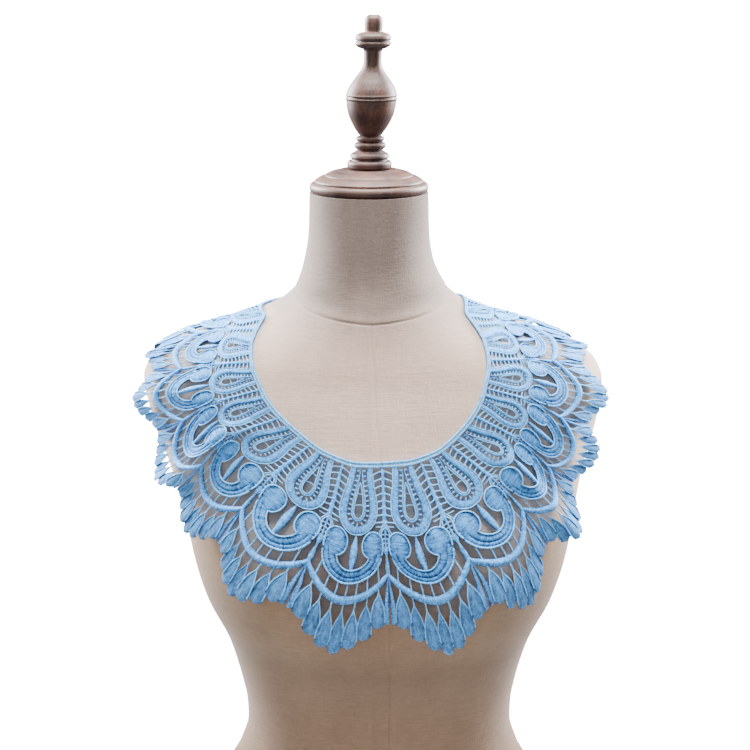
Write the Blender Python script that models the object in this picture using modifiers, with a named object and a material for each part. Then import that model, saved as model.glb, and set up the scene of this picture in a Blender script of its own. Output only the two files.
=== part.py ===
"""Lace collar laid over the shoulders of a limbless dress form.

The part stands on the flat underside of the form, front towards -Y. Sizes are in millimetres in
the tables and become metres where points are made.
"""
import math

import bmesh
import bpy
import numpy as np
from mathutils.geometry import delaunay_2d_cdt

MM = 0.001
COLLECTION_NAME = "lace_collar_on_dress_form"

# ---- Dress form -----------------------------------------------------------------------------
# Level sections of the torso. Side is the depth at which a section is widest, and power is that of
# its oval: 2 is an ellipse, less is more pointed at the shoulders.
FORM_SECTIONS = (
    # height, half width, front, back, side, power
    (0, 154, -88, 96, 4, 2.2),
    (6, 158, -92, 100, 4, 2.2),
    (80, 166, -100, 110, 5, 2.2),
    (130, 156, -99, 104, 3, 2.2),
    (170, 138, -96, 94, 1, 2.2),
    (200, 122, -91, 83, -1, 2.1),
    (225, 115, -88, 77, -2, 2.1),
    (245, 116, -89, 77, -1, 2.1),
    (260, 119, -91, 80, 0, 2.1),
    (300, 131, -102, 88, 4, 2.1),
    (340, 151, -115, 96, 8, 2.1),
    (375, 162, -122, 102, 13, 2.1),
    (410, 169, -119, 108, 20, 2.1),
    (450, 180, -110, 112, 31, 2.0),
    (490, 194, -99, 112, 40, 1.9),
    (520, 199, -90, 108, 44, 1.88),
    (540, 191, -83, 103, 44, 1.85),
    (552, 174, -79, 100, 42, 1.85),
    (564, 147, -74, 95, 37, 1.85),
    (576, 114, -69, 90, 32, 1.85),
    (588, 85, -64, 84, 26, 1.88),
    (600, 67, -60, 78, 20, 1.9),
    (612, 60.5, -56, 72, 14, 2.0),
    (630, 54, -53, 66, 9, 2.0),
    (652, 50.5, -51, 60, 5, 2.0),
    (686, 49.3, -48, 52, 2, 2.0),
)
# The form leans a little: how far each level stands towards +X.
FORM_LEAN = (
    # height, shift
    (0, 6.3), (300, 6.5), (375, 7.4), (440, 5.0), (500, 2.0), (555, 0.0), (604, -0.8), (632, -2.3),
    (686, -2.1),
)
FORM_RING_HEIGHTS = (
    0, 6, 45, 85, 125, 155, 180, 203, 225, 247, 270, 300, 325, 348, 368, 390, 415, 442, 470,
    493, 512, 527, 540, 551, 561, 570, 579, 588, 597, 607, 622, 650, 686,
)
FORM_SEGMENTS = 42
BUST_OFFSET = 82
BUST_HEIGHT = 372
BUST_RISE = 8
BUST_SPREAD_ACROSS = 48
BUST_SPREAD_UP = 55
BOX_CENTRE_Y = 5.2  # moves the whole part so that its box is centred on the origin
FORM_SHARP_EDGE_DEGREES = 50

# ---- Turned wooden cap and finial ------------------------------------------------------------
# Profiles run from top to bottom. The cap stands 0.3 mm over the neck, and the finial 0.3 mm over
# the cap.
NECK_CENTRE_Y = 2
CAP_SHIFT = -2.1
FINIAL_SHIFT = -0.5
CAP_PROFILE = (
    # radius, height
    (25, 704.8), (32, 703.0), (36, 700.9), (43, 697.4), (44.9, 696.0), (45.2, 694.6),
    (47.0, 694.0), (49.2, 691.6), (49.4, 690.0), (48.6, 687.6), (46.5, 686.3),
)
FINIAL_PROFILE = (
    # radius, height
    (4.5, 830.3), (7.0, 827.0), (7.6, 816.2), (13.2, 814.6), (14.6, 810.2), (13.6, 809.4),
    (14.5, 808.4), (13.6, 804.4), (7.5, 800.6), (7.9, 789.5), (10.6, 784.4), (18.2, 773.0),
    (21.2, 765.4), (20.5, 764.0), (21.3, 762.4), (20.3, 759.6), (19.2, 752.2), (16.2, 745.0),
    (8.6, 732.4), (11.5, 730.2), (10.4, 727.2), (12.8, 724.2), (10.6, 720.6), (15.6, 715.8),
    (14.4, 712.9), (18.0, 710.6), (18.0, 706.6), (15.0, 705.1),
)
TURNED_STEPS = 26

# ---- Lace ring: 20 equal repeats, cut as a full flat ring -------------------------------------
REPEATS = 20
NECK_PITCH = 32.0
LACE_DEPTH = 158.0
FLAT_NECK_RADIUS = REPEATS * NECK_PITCH / (2 * math.pi)
SEAM_GAP = 0.3
HALVES_GAP = 0.45
BAND_DEPTH = 5.0
LACE_THICKNESS = 1.4
TAPE_THICKNESS = 2.2
CLEARANCE = 1.0

# Where each repeat's centre line lies on the form, a row for each repeat from centre back round
# by the form's -X side and the front: its bearing in degrees from the front and its height at
# each of the drape depths, and how far the hem stands off the form.
DRAPE_DEPTHS = (0, 60, 99.5, 158)  # neck edge, teardrop foot, scroll foot and hem
DRAPE = (
    # neck, teardrop, scroll and hem, each a bearing and a height, then the hem's lift
    (-160.2, 588, -154.0, 536, -155.3, 499, -158.6, 441, 3),
    (-128.7, 586, -123.1, 546, -122.8, 513, -130.8, 457, 2),
    (-99.4, 585, -104.9, 561, -104.6, 537, -112.1, 486, 1),
    (-68.7, 583, -86.6, 574, -93.9, 564, -99.2, 527, 1),
    (-50.5, 564, -62.8, 560, -71.3, 553, -85.3, 539, 2),
    (-41.1, 544, -55.5, 533, -67.7, 519, -84.7, 501, 4),
    (-35.1, 526, -50.3, 507, -62.4, 477, -80.9, 449, 8),
    (-24.9, 505, -42.1, 482, -52.5, 451, -65.7, 411, 12),
    (-15.4, 490, -25.7, 448, -36.2, 416, -48.9, 371, 10),
    (-4.2, 483, -7.2, 427, -10.7, 389, -17.1, 335, 13),
    (8.6, 484, 11.7, 426, 16.0, 389, 24.5, 333, 13),
    (19.2, 490, 31.5, 447, 40.5, 416, 49.8, 363, 10),
    (28.1, 505, 44.0, 478, 54.0, 448, 67.9, 410, 12),
    (36.7, 528, 50.0, 506, 61.4, 479, 76.7, 464, 8),
    (40.8, 544, 55.2, 537, 64.8, 525, 81.4, 508, 4),
    (49.4, 567, 63.1, 564, 72.2, 560, 84.0, 546, 2),
    (63.5, 587, 86.5, 580, 96.6, 571, 99.4, 539, 1),
    (92.2, 592, 106.6, 568, 106.8, 543, 107.7, 489, 1),
    (124.8, 588, 126.1, 547, 125.0, 514, 127.3, 458, 2),
    (160.0, 588, 159.7, 537, 159.3, 502, 160.0, 446, 3),
)
HEM_RIPPLE = 3.5
RIPPLE_START_TURN = 2.5

# Folds of the cloth. Turns and the half width are in repeats, and plus is the form's +X side.
FOLDS = (
    # neck turn, hem turn, start depth, half width, rise
    (-3.05, -3.20, 30, 0.24, 9),
    (2.45, 2.37, 35, 0.20, 7),
    (-4.55, -4.60, 70, 0.22, 4),
    (3.95, 3.85, 80, 0.22, 4),
    (7.35, 7.30, 60, 0.25, 5),
    (-8.15, -8.00, 65, 0.25, 5),
)

# One repeat of the lace, across and down from its centre line at the neck edge, mm.
TEARDROP_OPENING = ((1.2, 17.0), (3.0, 30.0), (3.5, 40.0), (2.2, 45.5))
SCROLL_OPENING = (
    (3.3, 59.8), (5.0, 61.8), (6.5, 68.8), (12.0, 73.3), (14.0, 79.3), (10.5, 85.5), (3.3, 88.5),
)
SCROLL_CENTRE_DEPTH = 75.4
SCROLL_RADIUS = 24.2
ARC_INNER_CENTRE_DEPTH = 81.0
ARC_INNER_RADIUS = 28.5
ARC_OUTER_CENTRE_DEPTH = 87.1
ARC_OUTER_RADIUS = 29.6
BAR_CENTRE_DEPTH = 78.0
BAR_STEP_DEGREES = 17.5
BAR_HALF_WIDTH = 0.8
BAR_CELLS_EACH_SIDE = 3
PETALS = 7
PETAL_TIP_DEPTHS = (158.0, 153.5, 146.0, 135.0)
PETAL_TOP_DEPTHS = (127.0, 126.0, 121.0, 111.0)
PETAL_NOTCH = 6.0
PETAL_TOUCH = 9.0
STEM_HALF_WIDTH = 0.7
CUSP_DEPTH = 131.0
TEARDROP_RIDGE = ((7.8, 14.0), (10.0, 27.0), (11.6, 40.0), (7.5, 51.5))
SCROLL_RIDGE_RADIUS = 19.2
SCROLL_RIDGE_DEGREES = (14.0, 42.0, 72.0)
VOLUTE_CENTRE = (15.5, 65.0)
LEAF_RIDGE_DEPTH = 74.0
ARC_RIDGE_DEPTH = 113.1
ARC_RIDGE_SIDE = (15.5, 107.5)
LADDER_STEM_DEPTHS = (14.0, 30.0, 46.0, 62.0, 77.0, 92.0, 112.0)
PATTERN_TOLERANCE = 1e-7


def smooth(at, places, values):
    """Monotone cubic curve through the table's values."""
    places = np.asarray(places, float)
    values = np.asarray(values, float)
    steps = np.diff(places)
    slopes = np.diff(values) / steps
    tangents = np.zeros(len(places))
    for i in range(1, len(places) - 1):
        if slopes[i - 1] * slopes[i] > 0:
            before = 2 * steps[i] + steps[i - 1]
            after = steps[i] + 2 * steps[i - 1]
            tangents[i] = (before + after) / (before / slopes[i - 1] + after / slopes[i])
    tangents[0] = slopes[0]
    tangents[-1] = slopes[-1]
    at = np.clip(at, places[0], places[-1])
    i = np.clip(np.searchsorted(places, at) - 1, 0, len(steps) - 1)
    t = (at - places[i]) / steps[i]
    return (
        (2 * t**3 - 3 * t**2 + 1) * values[i]
        + (t**3 - 2 * t**2 + t) * steps[i] * tangents[i]
        + (3 * t**2 - 2 * t**3) * values[i + 1]
        + (t**3 - t**2) * steps[i] * tangents[i + 1]
    )


def form_point(bearing, height):
    """Point of the form's skin, in mm, at a bearing in radians from the front and a height."""
    bearing = np.asarray(bearing, float)
    height = np.asarray(height, float) + 0 * bearing
    columns = np.array(FORM_SECTIONS, float).T
    half_width, front, back, side, power = (smooth(height, columns[0], c) for c in columns[1:])
    across = np.abs(np.sin(bearing))
    ahead = np.cos(bearing)
    half_depth = np.where(ahead > 0, side - front, back - side)
    radius = ((across / half_width) ** power + (np.abs(ahead) / half_depth) ** power) ** (-1 / power)
    out = (radius * across - BUST_OFFSET) / BUST_SPREAD_ACROSS
    up = (height - BUST_HEIGHT) / BUST_SPREAD_UP
    radius = radius + BUST_RISE * np.exp(-out**2 - up**2) * np.maximum(ahead, 0)
    lean_heights, lean_shifts = np.array(FORM_LEAN, float).T
    x = radius * np.sin(bearing) + smooth(height, lean_heights, lean_shifts)
    y = side - radius * ahead + BOX_CENTRE_Y
    return np.stack([x, y, height], axis=-1)


def form_normal(bearing, height):
    """Outward direction of the form's skin."""
    step_round = 0.01
    step_up = 0.5
    round_it = form_point(bearing + step_round, height) - form_point(bearing - step_round, height)
    up_it = form_point(bearing, height + step_up) - form_point(bearing, height - step_up)
    normal = np.cross(round_it, up_it)
    return normal / np.linalg.norm(normal, axis=-1, keepdims=True)


def drape_columns():
    """The drape table with its first and last rows repeated one turn on, past centre back."""
    rows = np.array(DRAPE, float)
    bearings = slice(0, 2 * len(DRAPE_DEPTHS), 2)
    before = rows[-1:].copy()
    before[:, bearings] -= 360
    after = rows[:1].copy()
    after[:, bearings] += 360
    table = np.concatenate([before, rows, after])
    turns = np.arange(len(table)) - len(table) / 2 + 0.5
    return turns, table


def lace_point(turn, depth, raised):
    """Place of the lace in mm: turn in repeats, depth from the neck, raised over its inner face."""
    turn = np.asarray(turn, float)
    depth = np.asarray(depth, float)
    turns, table = drape_columns()
    net = np.stack([smooth(turn, turns, table[:, i]) for i in range(table.shape[1])], axis=-1)
    bearing = np.zeros(len(turn))
    height = np.zeros(len(turn))
    for i in range(len(turn)):
        bearing[i] = smooth(depth[i], DRAPE_DEPTHS, net[i, 0:-1:2])
        height[i] = smooth(depth[i], DRAPE_DEPTHS, net[i, 1:-1:2])
    bearing = np.radians(bearing)
    share = np.clip(depth / LACE_DEPTH, 0, 1)
    lift = net[:, -1] * share**3
    ripple_grows = np.clip(np.abs(turn) - RIPPLE_START_TURN, 0, 1)
    wave = 0.5 - 0.5 * np.cos(2 * math.pi * turn)
    lift = lift + HEM_RIPPLE * ripple_grows * wave * share**2
    for neck_turn, hem_turn, start, half_width, rise in FOLDS:
        middle = neck_turn + (hem_turn - neck_turn) * share
        grown = np.clip((depth - start) / (LACE_DEPTH - start), 0, 1)
        lift = lift + rise * np.sqrt(grown) * np.exp(-((turn - middle) / half_width) ** 2)
    offset = CLEARANCE + lift + raised
    return form_point(bearing, height) + form_normal(bearing, height) * offset[:, None]


def pitch_at(depth):
    """Width of one repeat of the flat ring at a depth."""
    return 2 * math.pi * (FLAT_NECK_RADIUS + depth) / REPEATS


def circle_reach(degrees, centre_depth, radius):
    """Distance from the bars' centre, along a bar, to a circle of the repeat."""
    down = math.cos(math.radians(degrees))
    shift = BAR_CENTRE_DEPTH - centre_depth
    return -shift * down + math.sqrt((shift * down) ** 2 - shift**2 + radius**2)


def bar_cell(first_degrees):
    """Opening between two bars that join the scroll to the arc under it."""
    corners = []
    for degrees, side in ((first_degrees, 1), (first_degrees + BAR_STEP_DEGREES, -1)):
        angle = math.radians(degrees)
        inner = circle_reach(degrees, SCROLL_CENTRE_DEPTH, SCROLL_RADIUS)
        outer = circle_reach(degrees, ARC_INNER_CENTRE_DEPTH, ARC_INNER_RADIUS)
        pair = []
        for reach in (inner, outer):
            across = reach * math.sin(angle) + side * BAR_HALF_WIDTH * math.cos(angle)
            down = BAR_CENTRE_DEPTH + reach * math.cos(angle) - side * BAR_HALF_WIDTH * math.sin(angle)
            pair.append((across, down))
        corners.append(pair)
    return [corners[0][0], corners[0][1], corners[1][1], corners[1][0]]


def petal_gap(index):
    """Opening between the stems of two petals, under the arc; index counts out from the centre."""
    step = pitch_at(PETAL_TOP_DEPTHS[index]) / (PETALS + 1)
    corners = []
    for across in (index * step + STEM_HALF_WIDTH, (index + 1) * step - STEM_HALF_WIDTH):
        reach = math.sqrt(max(ARC_OUTER_RADIUS**2 - across**2, 0))
        corners.append((across, ARC_OUTER_CENTRE_DEPTH + reach))
    low = PETAL_TOP_DEPTHS[index + 1]
    touch = (index + 0.5) * step, low + PETAL_TOUCH
    return [corners[0], corners[1], (corners[1][0], low), touch, (corners[0][0], low)]


def mirrored(points):
    """The same points on the repeat's other side."""
    return [(-across, depth) for across, depth in points]


def repeat_openings():
    """All openings cut through one repeat."""
    teardrop = list(TEARDROP_OPENING) + mirrored(TEARDROP_OPENING)[::-1]
    openings = [teardrop, list(SCROLL_OPENING), mirrored(SCROLL_OPENING)]
    for i in range(BAR_CELLS_EACH_SIDE):
        cell = bar_cell(i * BAR_STEP_DEGREES)
        openings += [cell, mirrored(cell)]
    for i in range(PETALS // 2):
        gap = petal_gap(i)
        openings += [gap, mirrored(gap)]
    return openings


def repeat_ridges():
    """Points on the middle of the raised tapes, volutes, arc and petals of one repeat."""
    points = []
    for across, depth in TEARDROP_RIDGE + (VOLUTE_CENTRE, ARC_RIDGE_SIDE):
        points += [(across, depth), (-across, depth)]
    for degrees in SCROLL_RIDGE_DEGREES:
        across = SCROLL_RIDGE_RADIUS * math.sin(math.radians(degrees))
        depth = SCROLL_CENTRE_DEPTH + SCROLL_RIDGE_RADIUS * math.cos(math.radians(degrees))
        points += [(across, depth), (-across, depth)]
    points += [(0, LEAF_RIDGE_DEPTH), (0, ARC_RIDGE_DEPTH)]
    for i in range(-(PETALS // 2), PETALS // 2 + 1):
        depth = (PETAL_TOP_DEPTHS[abs(i)] + 2 * PETAL_TIP_DEPTHS[abs(i)]) / 3
        points.append((i * pitch_at(depth) / (PETALS + 1), depth))
    return points


def repeat_hem():
    """Hem of one repeat after its first cusp: petal tips with a notch before and after each."""
    points = []
    for i in range(-(PETALS // 2), PETALS // 2 + 1):
        tip = PETAL_TIP_DEPTHS[abs(i)]
        if i > -(PETALS // 2):
            notch = min(tip, PETAL_TIP_DEPTHS[abs(i - 1)]) - PETAL_NOTCH
            points.append(((i - 0.5) * pitch_at(notch) / (PETALS + 1), notch))
        points.append((i * pitch_at(tip) / (PETALS + 1), tip))
    return points


def new_object(name, mesh, material, collection):
    """Object with one material in the part's collection."""
    mesh.materials.append(material)
    obj = bpy.data.objects.new(name, mesh)
    collection.objects.link(obj)
    return obj


def new_material(name, colour, roughness):
    """Plain principled material; colour is linear RGB."""
    material = bpy.data.materials.new(name)
    material.use_nodes = True
    shader = material.node_tree.nodes["Principled BSDF"]
    shader.inputs["Base Color"].default_value = (*colour, 1)
    shader.inputs["Roughness"].default_value = roughness
    material.diffuse_color = (*colour, 1)
    return material


def make_form(material, collection):
    """Torso lofted through its level sections, closed flat at the hips and at the neck."""
    bearings = np.arange(FORM_SEGMENTS) * 2 * math.pi / FORM_SEGMENTS
    mesh_builder = bmesh.new()
    rings = []
    for height in FORM_RING_HEIGHTS:
        points = form_point(bearings, height) * MM
        rings.append([mesh_builder.verts.new(point) for point in points])
    for low, high in zip(rings, rings[1:]):
        for i in range(FORM_SEGMENTS):
            j = (i + 1) % FORM_SEGMENTS
            mesh_builder.faces.new((low[i], low[j], high[j], high[i]))
    mesh_builder.faces.new(rings[0][::-1])
    mesh_builder.faces.new(rings[-1])
    mesh = bpy.data.meshes.new("form_body")
    mesh_builder.to_mesh(mesh)
    mesh_builder.free()
    mesh.shade_smooth()
    mesh.set_sharp_from_angle(angle=math.radians(FORM_SHARP_EDGE_DEGREES))
    return new_object("form_body", mesh, material, collection)


def make_turned(name, profile, shift, material, collection):
    """Profile swept round an upright axis over the neck with a Screw modifier."""
    points = [(0, profile[0][1])] + list(profile) + [(0, profile[-1][1])]
    mesh = bpy.data.meshes.new(name)
    edges = [(i, i + 1) for i in range(len(points) - 1)]
    mesh.from_pydata([(radius * MM, 0, height * MM) for radius, height in points], edges, [])
    obj = new_object(name, mesh, material, collection)
    obj.location = (shift * MM, (NECK_CENTRE_Y + BOX_CENTRE_Y) * MM, 0)
    screw = obj.modifiers.new("turning", "SCREW")
    screw.steps = TURNED_STEPS
    screw.render_steps = TURNED_STEPS
    screw.use_merge_vertices = True
    screw.merge_threshold = 0.00001
    screw.use_smooth_shade = True
    return obj


def lace_half_pattern(side):
    """Flat outline, openings and ridge points of one half of the ring, as turn and depth."""
    half = REPEATS // 2
    edge = HALVES_GAP / 2

    def placed(points, index):
        centre = index + 0.5
        return [(side * (centre + across / pitch_at(depth)), depth) for across, depth in points]

    neck_depth = BAND_DEPTH + SEAM_GAP
    outline = [(side * i / 3, neck_depth) for i in range(3 * half, -1, -1)]
    openings = []
    ridges = []
    for index in range(half):
        outline.append((side * index, CUSP_DEPTH))
        outline += placed(repeat_hem(), index)
        openings += [placed(points, index) for points in repeat_openings()]
        ridges += placed(repeat_ridges(), index)
    outline.append((side * half, CUSP_DEPTH))
    ladder = [(side * index, depth) for index in range(1, half) for depth in LADDER_STEM_DEPTHS]
    seam_ends = [0, half]
    trimmed = []
    for turn, depth in outline:
        if abs(turn) in seam_ends:
            inwards = 1 if turn == 0 else -1
            turn += side * inwards * edge / pitch_at(depth)
        trimmed.append((turn, depth))
    seams = []
    for index in seam_ends[::-1]:
        inwards = 1 if index == 0 else -1
        for depth in LADDER_STEM_DEPTHS:
            seams.append((side * (index + inwards * edge / pitch_at(depth)), depth))
    far_seam = seams[:len(LADDER_STEM_DEPTHS)]
    near_seam = seams[len(LADDER_STEM_DEPTHS):]
    neck_count = 3 * half + 1
    outline = trimmed[:neck_count] + near_seam + trimmed[neck_count:] + far_seam[::-1]
    return outline, openings, ridges, ladder


def flat_place(turn, depth):
    """Place of a point of the lace in the flat ring, mm."""
    radius = FLAT_NECK_RADIUS + depth
    angle = 2 * math.pi * turn / REPEATS
    return radius * math.sin(angle), -radius * math.cos(angle)


def inside(point, polygon):
    """Whether a flat point lies inside a polygon."""
    x, y = point
    within = False
    for (x1, y1), (x2, y2) in zip(polygon, polygon[1:] + polygon[:1]):
        if (y1 > y) != (y2 > y) and x < (x2 - x1) * (y - y1) / (y2 - y1) + x1:
            within = not within
    return within


def sheet_object(name, patterns, faces, thicknesses, material, collection):
    """Sheet bent onto the form and extruded outwards, by its own thickness at each point."""
    turns = np.array([turn for turn, depth in patterns])
    depths = np.array([depth for turn, depth in patterns])
    inner = lace_point(turns, depths, 0) * MM
    outer = lace_point(turns, depths, np.array(thicknesses)) * MM
    mesh = bpy.data.meshes.new(name)
    mesh.from_pydata([tuple(point) for point in inner], [], faces)
    wall = bmesh.new()
    wall.from_mesh(mesh)
    place = wall.verts.layers.int.new("place")
    for index, vertex in enumerate(wall.verts):
        vertex[place] = index
    inner_count = len(wall.verts)
    bmesh.ops.extrude_face_region(wall, geom=wall.faces[:], use_keep_orig=True)
    wall.verts.ensure_lookup_table()
    for vertex in wall.verts[inner_count:]:
        vertex.co = outer[vertex[place]]
    bmesh.ops.recalc_face_normals(wall, faces=wall.faces)
    wall.to_mesh(mesh)
    wall.free()
    return new_object(name, mesh, material, collection)


def make_lace_half(name, side, material, collection):
    """One half of the lace ring with its openings cut through."""
    outline, openings, ridges, ladder = lace_half_pattern(side)
    patterns = list(outline)
    edges = [(i, (i + 1) % len(outline)) for i in range(len(outline))]
    for opening in openings:
        first = len(patterns)
        patterns += opening
        edges += [(first + i, first + (i + 1) % len(opening)) for i in range(len(opening))]
    low_points = len(patterns) + len(ladder)
    patterns += ladder + ridges
    flat = [flat_place(turn, depth) for turn, depth in patterns]
    result = delaunay_2d_cdt(flat, edges, [], 0, PATTERN_TOLERANCE)
    places = [(vertex.x, vertex.y) for vertex in result[0]]
    origins = [group[0] for group in result[3]]
    if len(places) != len(patterns):
        raise ValueError("the lace pattern crosses itself")
    hem_polygon = flat[:len(outline)]
    holes = [[flat_place(turn, depth) for turn, depth in opening] for opening in openings]
    boxes = [
        (min(x for x, y in h), max(x for x, y in h), min(y for x, y in h), max(y for x, y in h))
        for h in holes
    ]
    triangles = []
    for corners in result[2]:
        x = sum(places[i][0] for i in corners) / 3
        y = sum(places[i][1] for i in corners) / 3
        if not inside((x, y), hem_polygon):
            continue
        cut = False
        for box, hole in zip(boxes, holes):
            if box[0] < x < box[1] and box[2] < y < box[3] and inside((x, y), hole):
                cut = True
                break
        if not cut:
            triangles.append([origins[i] for i in corners])
    thicknesses = [LACE_THICKNESS] * low_points + [TAPE_THICKNESS] * len(ridges)
    return sheet_object(name, patterns, triangles, thicknesses, material, collection)


def make_band_half(name, side, material, collection):
    """Narrow corded tape that edges the neck."""
    half = REPEATS // 2
    count = 3 * half
    edge = HALVES_GAP / 2 / pitch_at(0)
    turns = [min(max(i / 3, edge), half - edge) for i in range(count + 1)]
    patterns = [(side * turn, 0) for turn in turns] + [(side * turn, BAND_DEPTH) for turn in turns]
    quads = []
    for i in range(count):
        corners = [i, i + 1, count + 2 + i, count + 1 + i]
        quads.append(corners if side < 0 else corners[::-1])
    thicknesses = [TAPE_THICKNESS] * len(patterns)
    return sheet_object(name, patterns, quads, thicknesses, material, collection)


for old_object in list(bpy.data.objects):
    bpy.data.objects.remove(old_object, do_unlink=True)

part_collection = bpy.data.collections.new(COLLECTION_NAME)
bpy.context.scene.collection.children.link(part_collection)

linen = new_material("natural_linen", (0.60, 0.54, 0.49), 0.85)
blue_lace = new_material("light_blue_lace", (0.25, 0.45, 0.68), 0.7)
turned_wood = new_material("dark_turned_wood", (0.10, 0.055, 0.045), 0.4)

make_form(linen, part_collection)
make_turned("neck_cap", CAP_PROFILE, CAP_SHIFT, turned_wood, part_collection)
make_turned("finial", FINIAL_PROFILE, FINIAL_SHIFT, turned_wood, part_collection)
for half_name, half_side in (("right", 1), ("left", -1)):
    make_lace_half("lace_" + half_name, half_side, blue_lace, part_collection)
    make_band_half("neck_band_" + half_name, half_side, blue_lace, part_collection)
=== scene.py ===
"""Looks of a light blue guipure lace collar laid over the shoulders of a linen dress form."""
import math

import bpy
import numpy as np
from mathutils.kdtree import KDTree
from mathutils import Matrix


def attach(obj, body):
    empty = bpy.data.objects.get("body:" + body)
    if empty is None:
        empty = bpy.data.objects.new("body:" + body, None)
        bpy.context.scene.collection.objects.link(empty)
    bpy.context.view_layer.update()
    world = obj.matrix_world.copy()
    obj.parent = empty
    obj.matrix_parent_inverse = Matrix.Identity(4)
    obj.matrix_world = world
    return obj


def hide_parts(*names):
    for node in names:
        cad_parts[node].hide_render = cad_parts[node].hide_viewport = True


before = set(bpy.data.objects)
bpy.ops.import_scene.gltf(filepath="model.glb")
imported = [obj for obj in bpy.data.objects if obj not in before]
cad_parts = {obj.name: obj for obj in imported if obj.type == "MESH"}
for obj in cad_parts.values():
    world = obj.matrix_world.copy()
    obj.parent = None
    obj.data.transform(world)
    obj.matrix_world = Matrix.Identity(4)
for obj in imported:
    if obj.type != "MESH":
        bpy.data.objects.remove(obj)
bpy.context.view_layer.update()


# ---- Studio ---------------------------------------------------------------------------------
# A round pale table top under the form, in a white studio. Two soft boxes stand behind the form's
# sides and light its edges, a wide one hangs over it, and a weak one fills the front.

CAMERA_PLACE = (0, -1.4948, 0.880)
CAMERA_DOWN_DEGREES = 13.1
CAMERA_LENS = 87.36
CAMERA_SENSOR = 36
CAMERA_SHIFT = 0.00467
BACKGROUND_LIGHT = 22.0
ROOM_LIGHT = 0.2
SOFT_BOXES = (
    # name, place, aim, width, height, power, colour
    ("left_box", (-1.1, 0.7, 1.05), (0, 0, 0.66), 0.7, 0.8, 163, "#ffffff"),
    ("right_box", (1.1, 0.7, 1.05), (0, 0, 0.66), 0.7, 0.8, 163, "#ffffff"),
    ("top_box", (0, -0.05, 1.9), (0, 0, 0.45), 1.2, 0.8, 170, "#fffaf4"),
    ("front_box", (-0.3, -2.4, 1.2), (0, 0, 0.45), 2.4, 1.8, 40, "#ffffff"),
)
TABLE_RADIUS = 0.40
TABLE_THICKNESS = 0.02
TABLE_SIDES = 160
BOARD_GRAIN = 0.025


def linear(hex_colour):
    """sRGB hex to linear RGB, with full alpha."""
    channels = [int(hex_colour[i:i + 2], 16) / 255 for i in (1, 3, 5)]
    return (*[c / 12.92 if c <= 0.04045 else ((c + 0.055) / 1.055) ** 2.4 for c in channels], 1)


def set_inputs(node, values):
    """Sets inputs, in order or by name, to plain values, outputs or nodes.

    A node stands for its first output in use.
    """
    by_name = values if isinstance(values, dict) else dict(enumerate(values))
    for name, value in by_name.items():
        if isinstance(value, bpy.types.Node):
            value = next(output for output in value.outputs if output.enabled)
        if isinstance(value, bpy.types.NodeSocket):
            node.id_data.links.new(value, node.inputs[name])
        else:
            node.inputs[name].default_value = value
    return node


def add_node(tree, kind, values=(), **settings):
    """Adds a node with its settings and inputs."""
    node = tree.nodes.new(kind)
    for name, value in settings.items():
        setattr(node, name, value)
    return set_inputs(node, values)


def node_material(name):
    """New material, with its tree, its shader and the place on the object in metres."""
    material = bpy.data.materials.new(name)
    material.use_nodes = True
    tree = material.node_tree
    place = add_node(tree, "ShaderNodeTexCoord").outputs["Object"]
    return material, tree, tree.nodes["Principled BSDF"], place


camera_data = bpy.data.cameras.new("camera")
camera_data.lens = CAMERA_LENS
camera_data.sensor_width = CAMERA_SENSOR
camera_data.shift_x = CAMERA_SHIFT
camera_data.clip_end = 50
camera = bpy.data.objects.new("camera", camera_data)
camera.location = CAMERA_PLACE
camera.rotation_euler = (math.radians(90 - CAMERA_DOWN_DEGREES), 0, 0)
bpy.context.scene.collection.objects.link(camera)
bpy.context.scene.camera = camera

studio = bpy.data.worlds.new("white_studio")
studio.use_nodes = True
room = studio.node_tree
room.nodes.clear()
seen = add_node(room, "ShaderNodeBackground", (linear("#ffffff"), BACKGROUND_LIGHT))
lit = add_node(room, "ShaderNodeBackground", (linear("#f6f3f2"), ROOM_LIGHT))
ray_kind = add_node(room, "ShaderNodeLightPath")
either = add_node(room, "ShaderNodeMixShader", (ray_kind.outputs["Is Camera Ray"], lit, seen))
add_node(room, "ShaderNodeOutputWorld", (either,))
bpy.context.scene.world = studio

for box_name, place, aim, width, height, power, colour in SOFT_BOXES:
    light = bpy.data.lights.new(box_name, "AREA")
    light.shape = "RECTANGLE"
    light.size = width
    light.size_y = height
    light.energy = power
    light.color = linear(colour)[:3]
    lamp = bpy.data.objects.new(box_name, light)
    lamp.location = place
    toward = np.array(aim) - np.array(place)
    turn_round = math.atan2(toward[0], -toward[1])
    tilt = math.atan2(math.hypot(toward[0], toward[1]), -toward[2])
    lamp.rotation_euler = (tilt, 0, turn_round + math.pi)
    lamp.visible_camera = False
    bpy.context.scene.collection.objects.link(lamp)

bpy.ops.mesh.primitive_cylinder_add(
    vertices=TABLE_SIDES, radius=TABLE_RADIUS, depth=TABLE_THICKNESS,
    location=(0, 0, -TABLE_THICKNESS / 2))
table_top = bpy.context.object
table_top.name = "table_top"
table_top.data.transform(table_top.matrix_world)
table_top.matrix_world.identity()
# Board painted matt white, its whiteness uneven over 25 mm.
painted_board, board, board_shader, board_place = node_material("matt_white_board")
board_grain = add_node(board, "ShaderNodeTexNoise", {
    "Vector": board_place, "Scale": 1 / BOARD_GRAIN, "Detail": 3.0})
board_white = add_node(board, "ShaderNodeMix", {
    0: board_grain, 6: linear("#f7f7f6"), 7: linear("#ffffff")}, data_type="RGBA")
set_inputs(board_shader, {"Base Color": board_white, "Roughness": 0.8})
table_top.data.materials.append(painted_board)


# ---- Dress form body ------------------------------------------------------------------------
# A hollow fibre torso covered with plain woven linen. The cover is sewn from four panels with
# seams at the centres and sides, and the neck's own cover is sewn on along the neck's foot.

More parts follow.
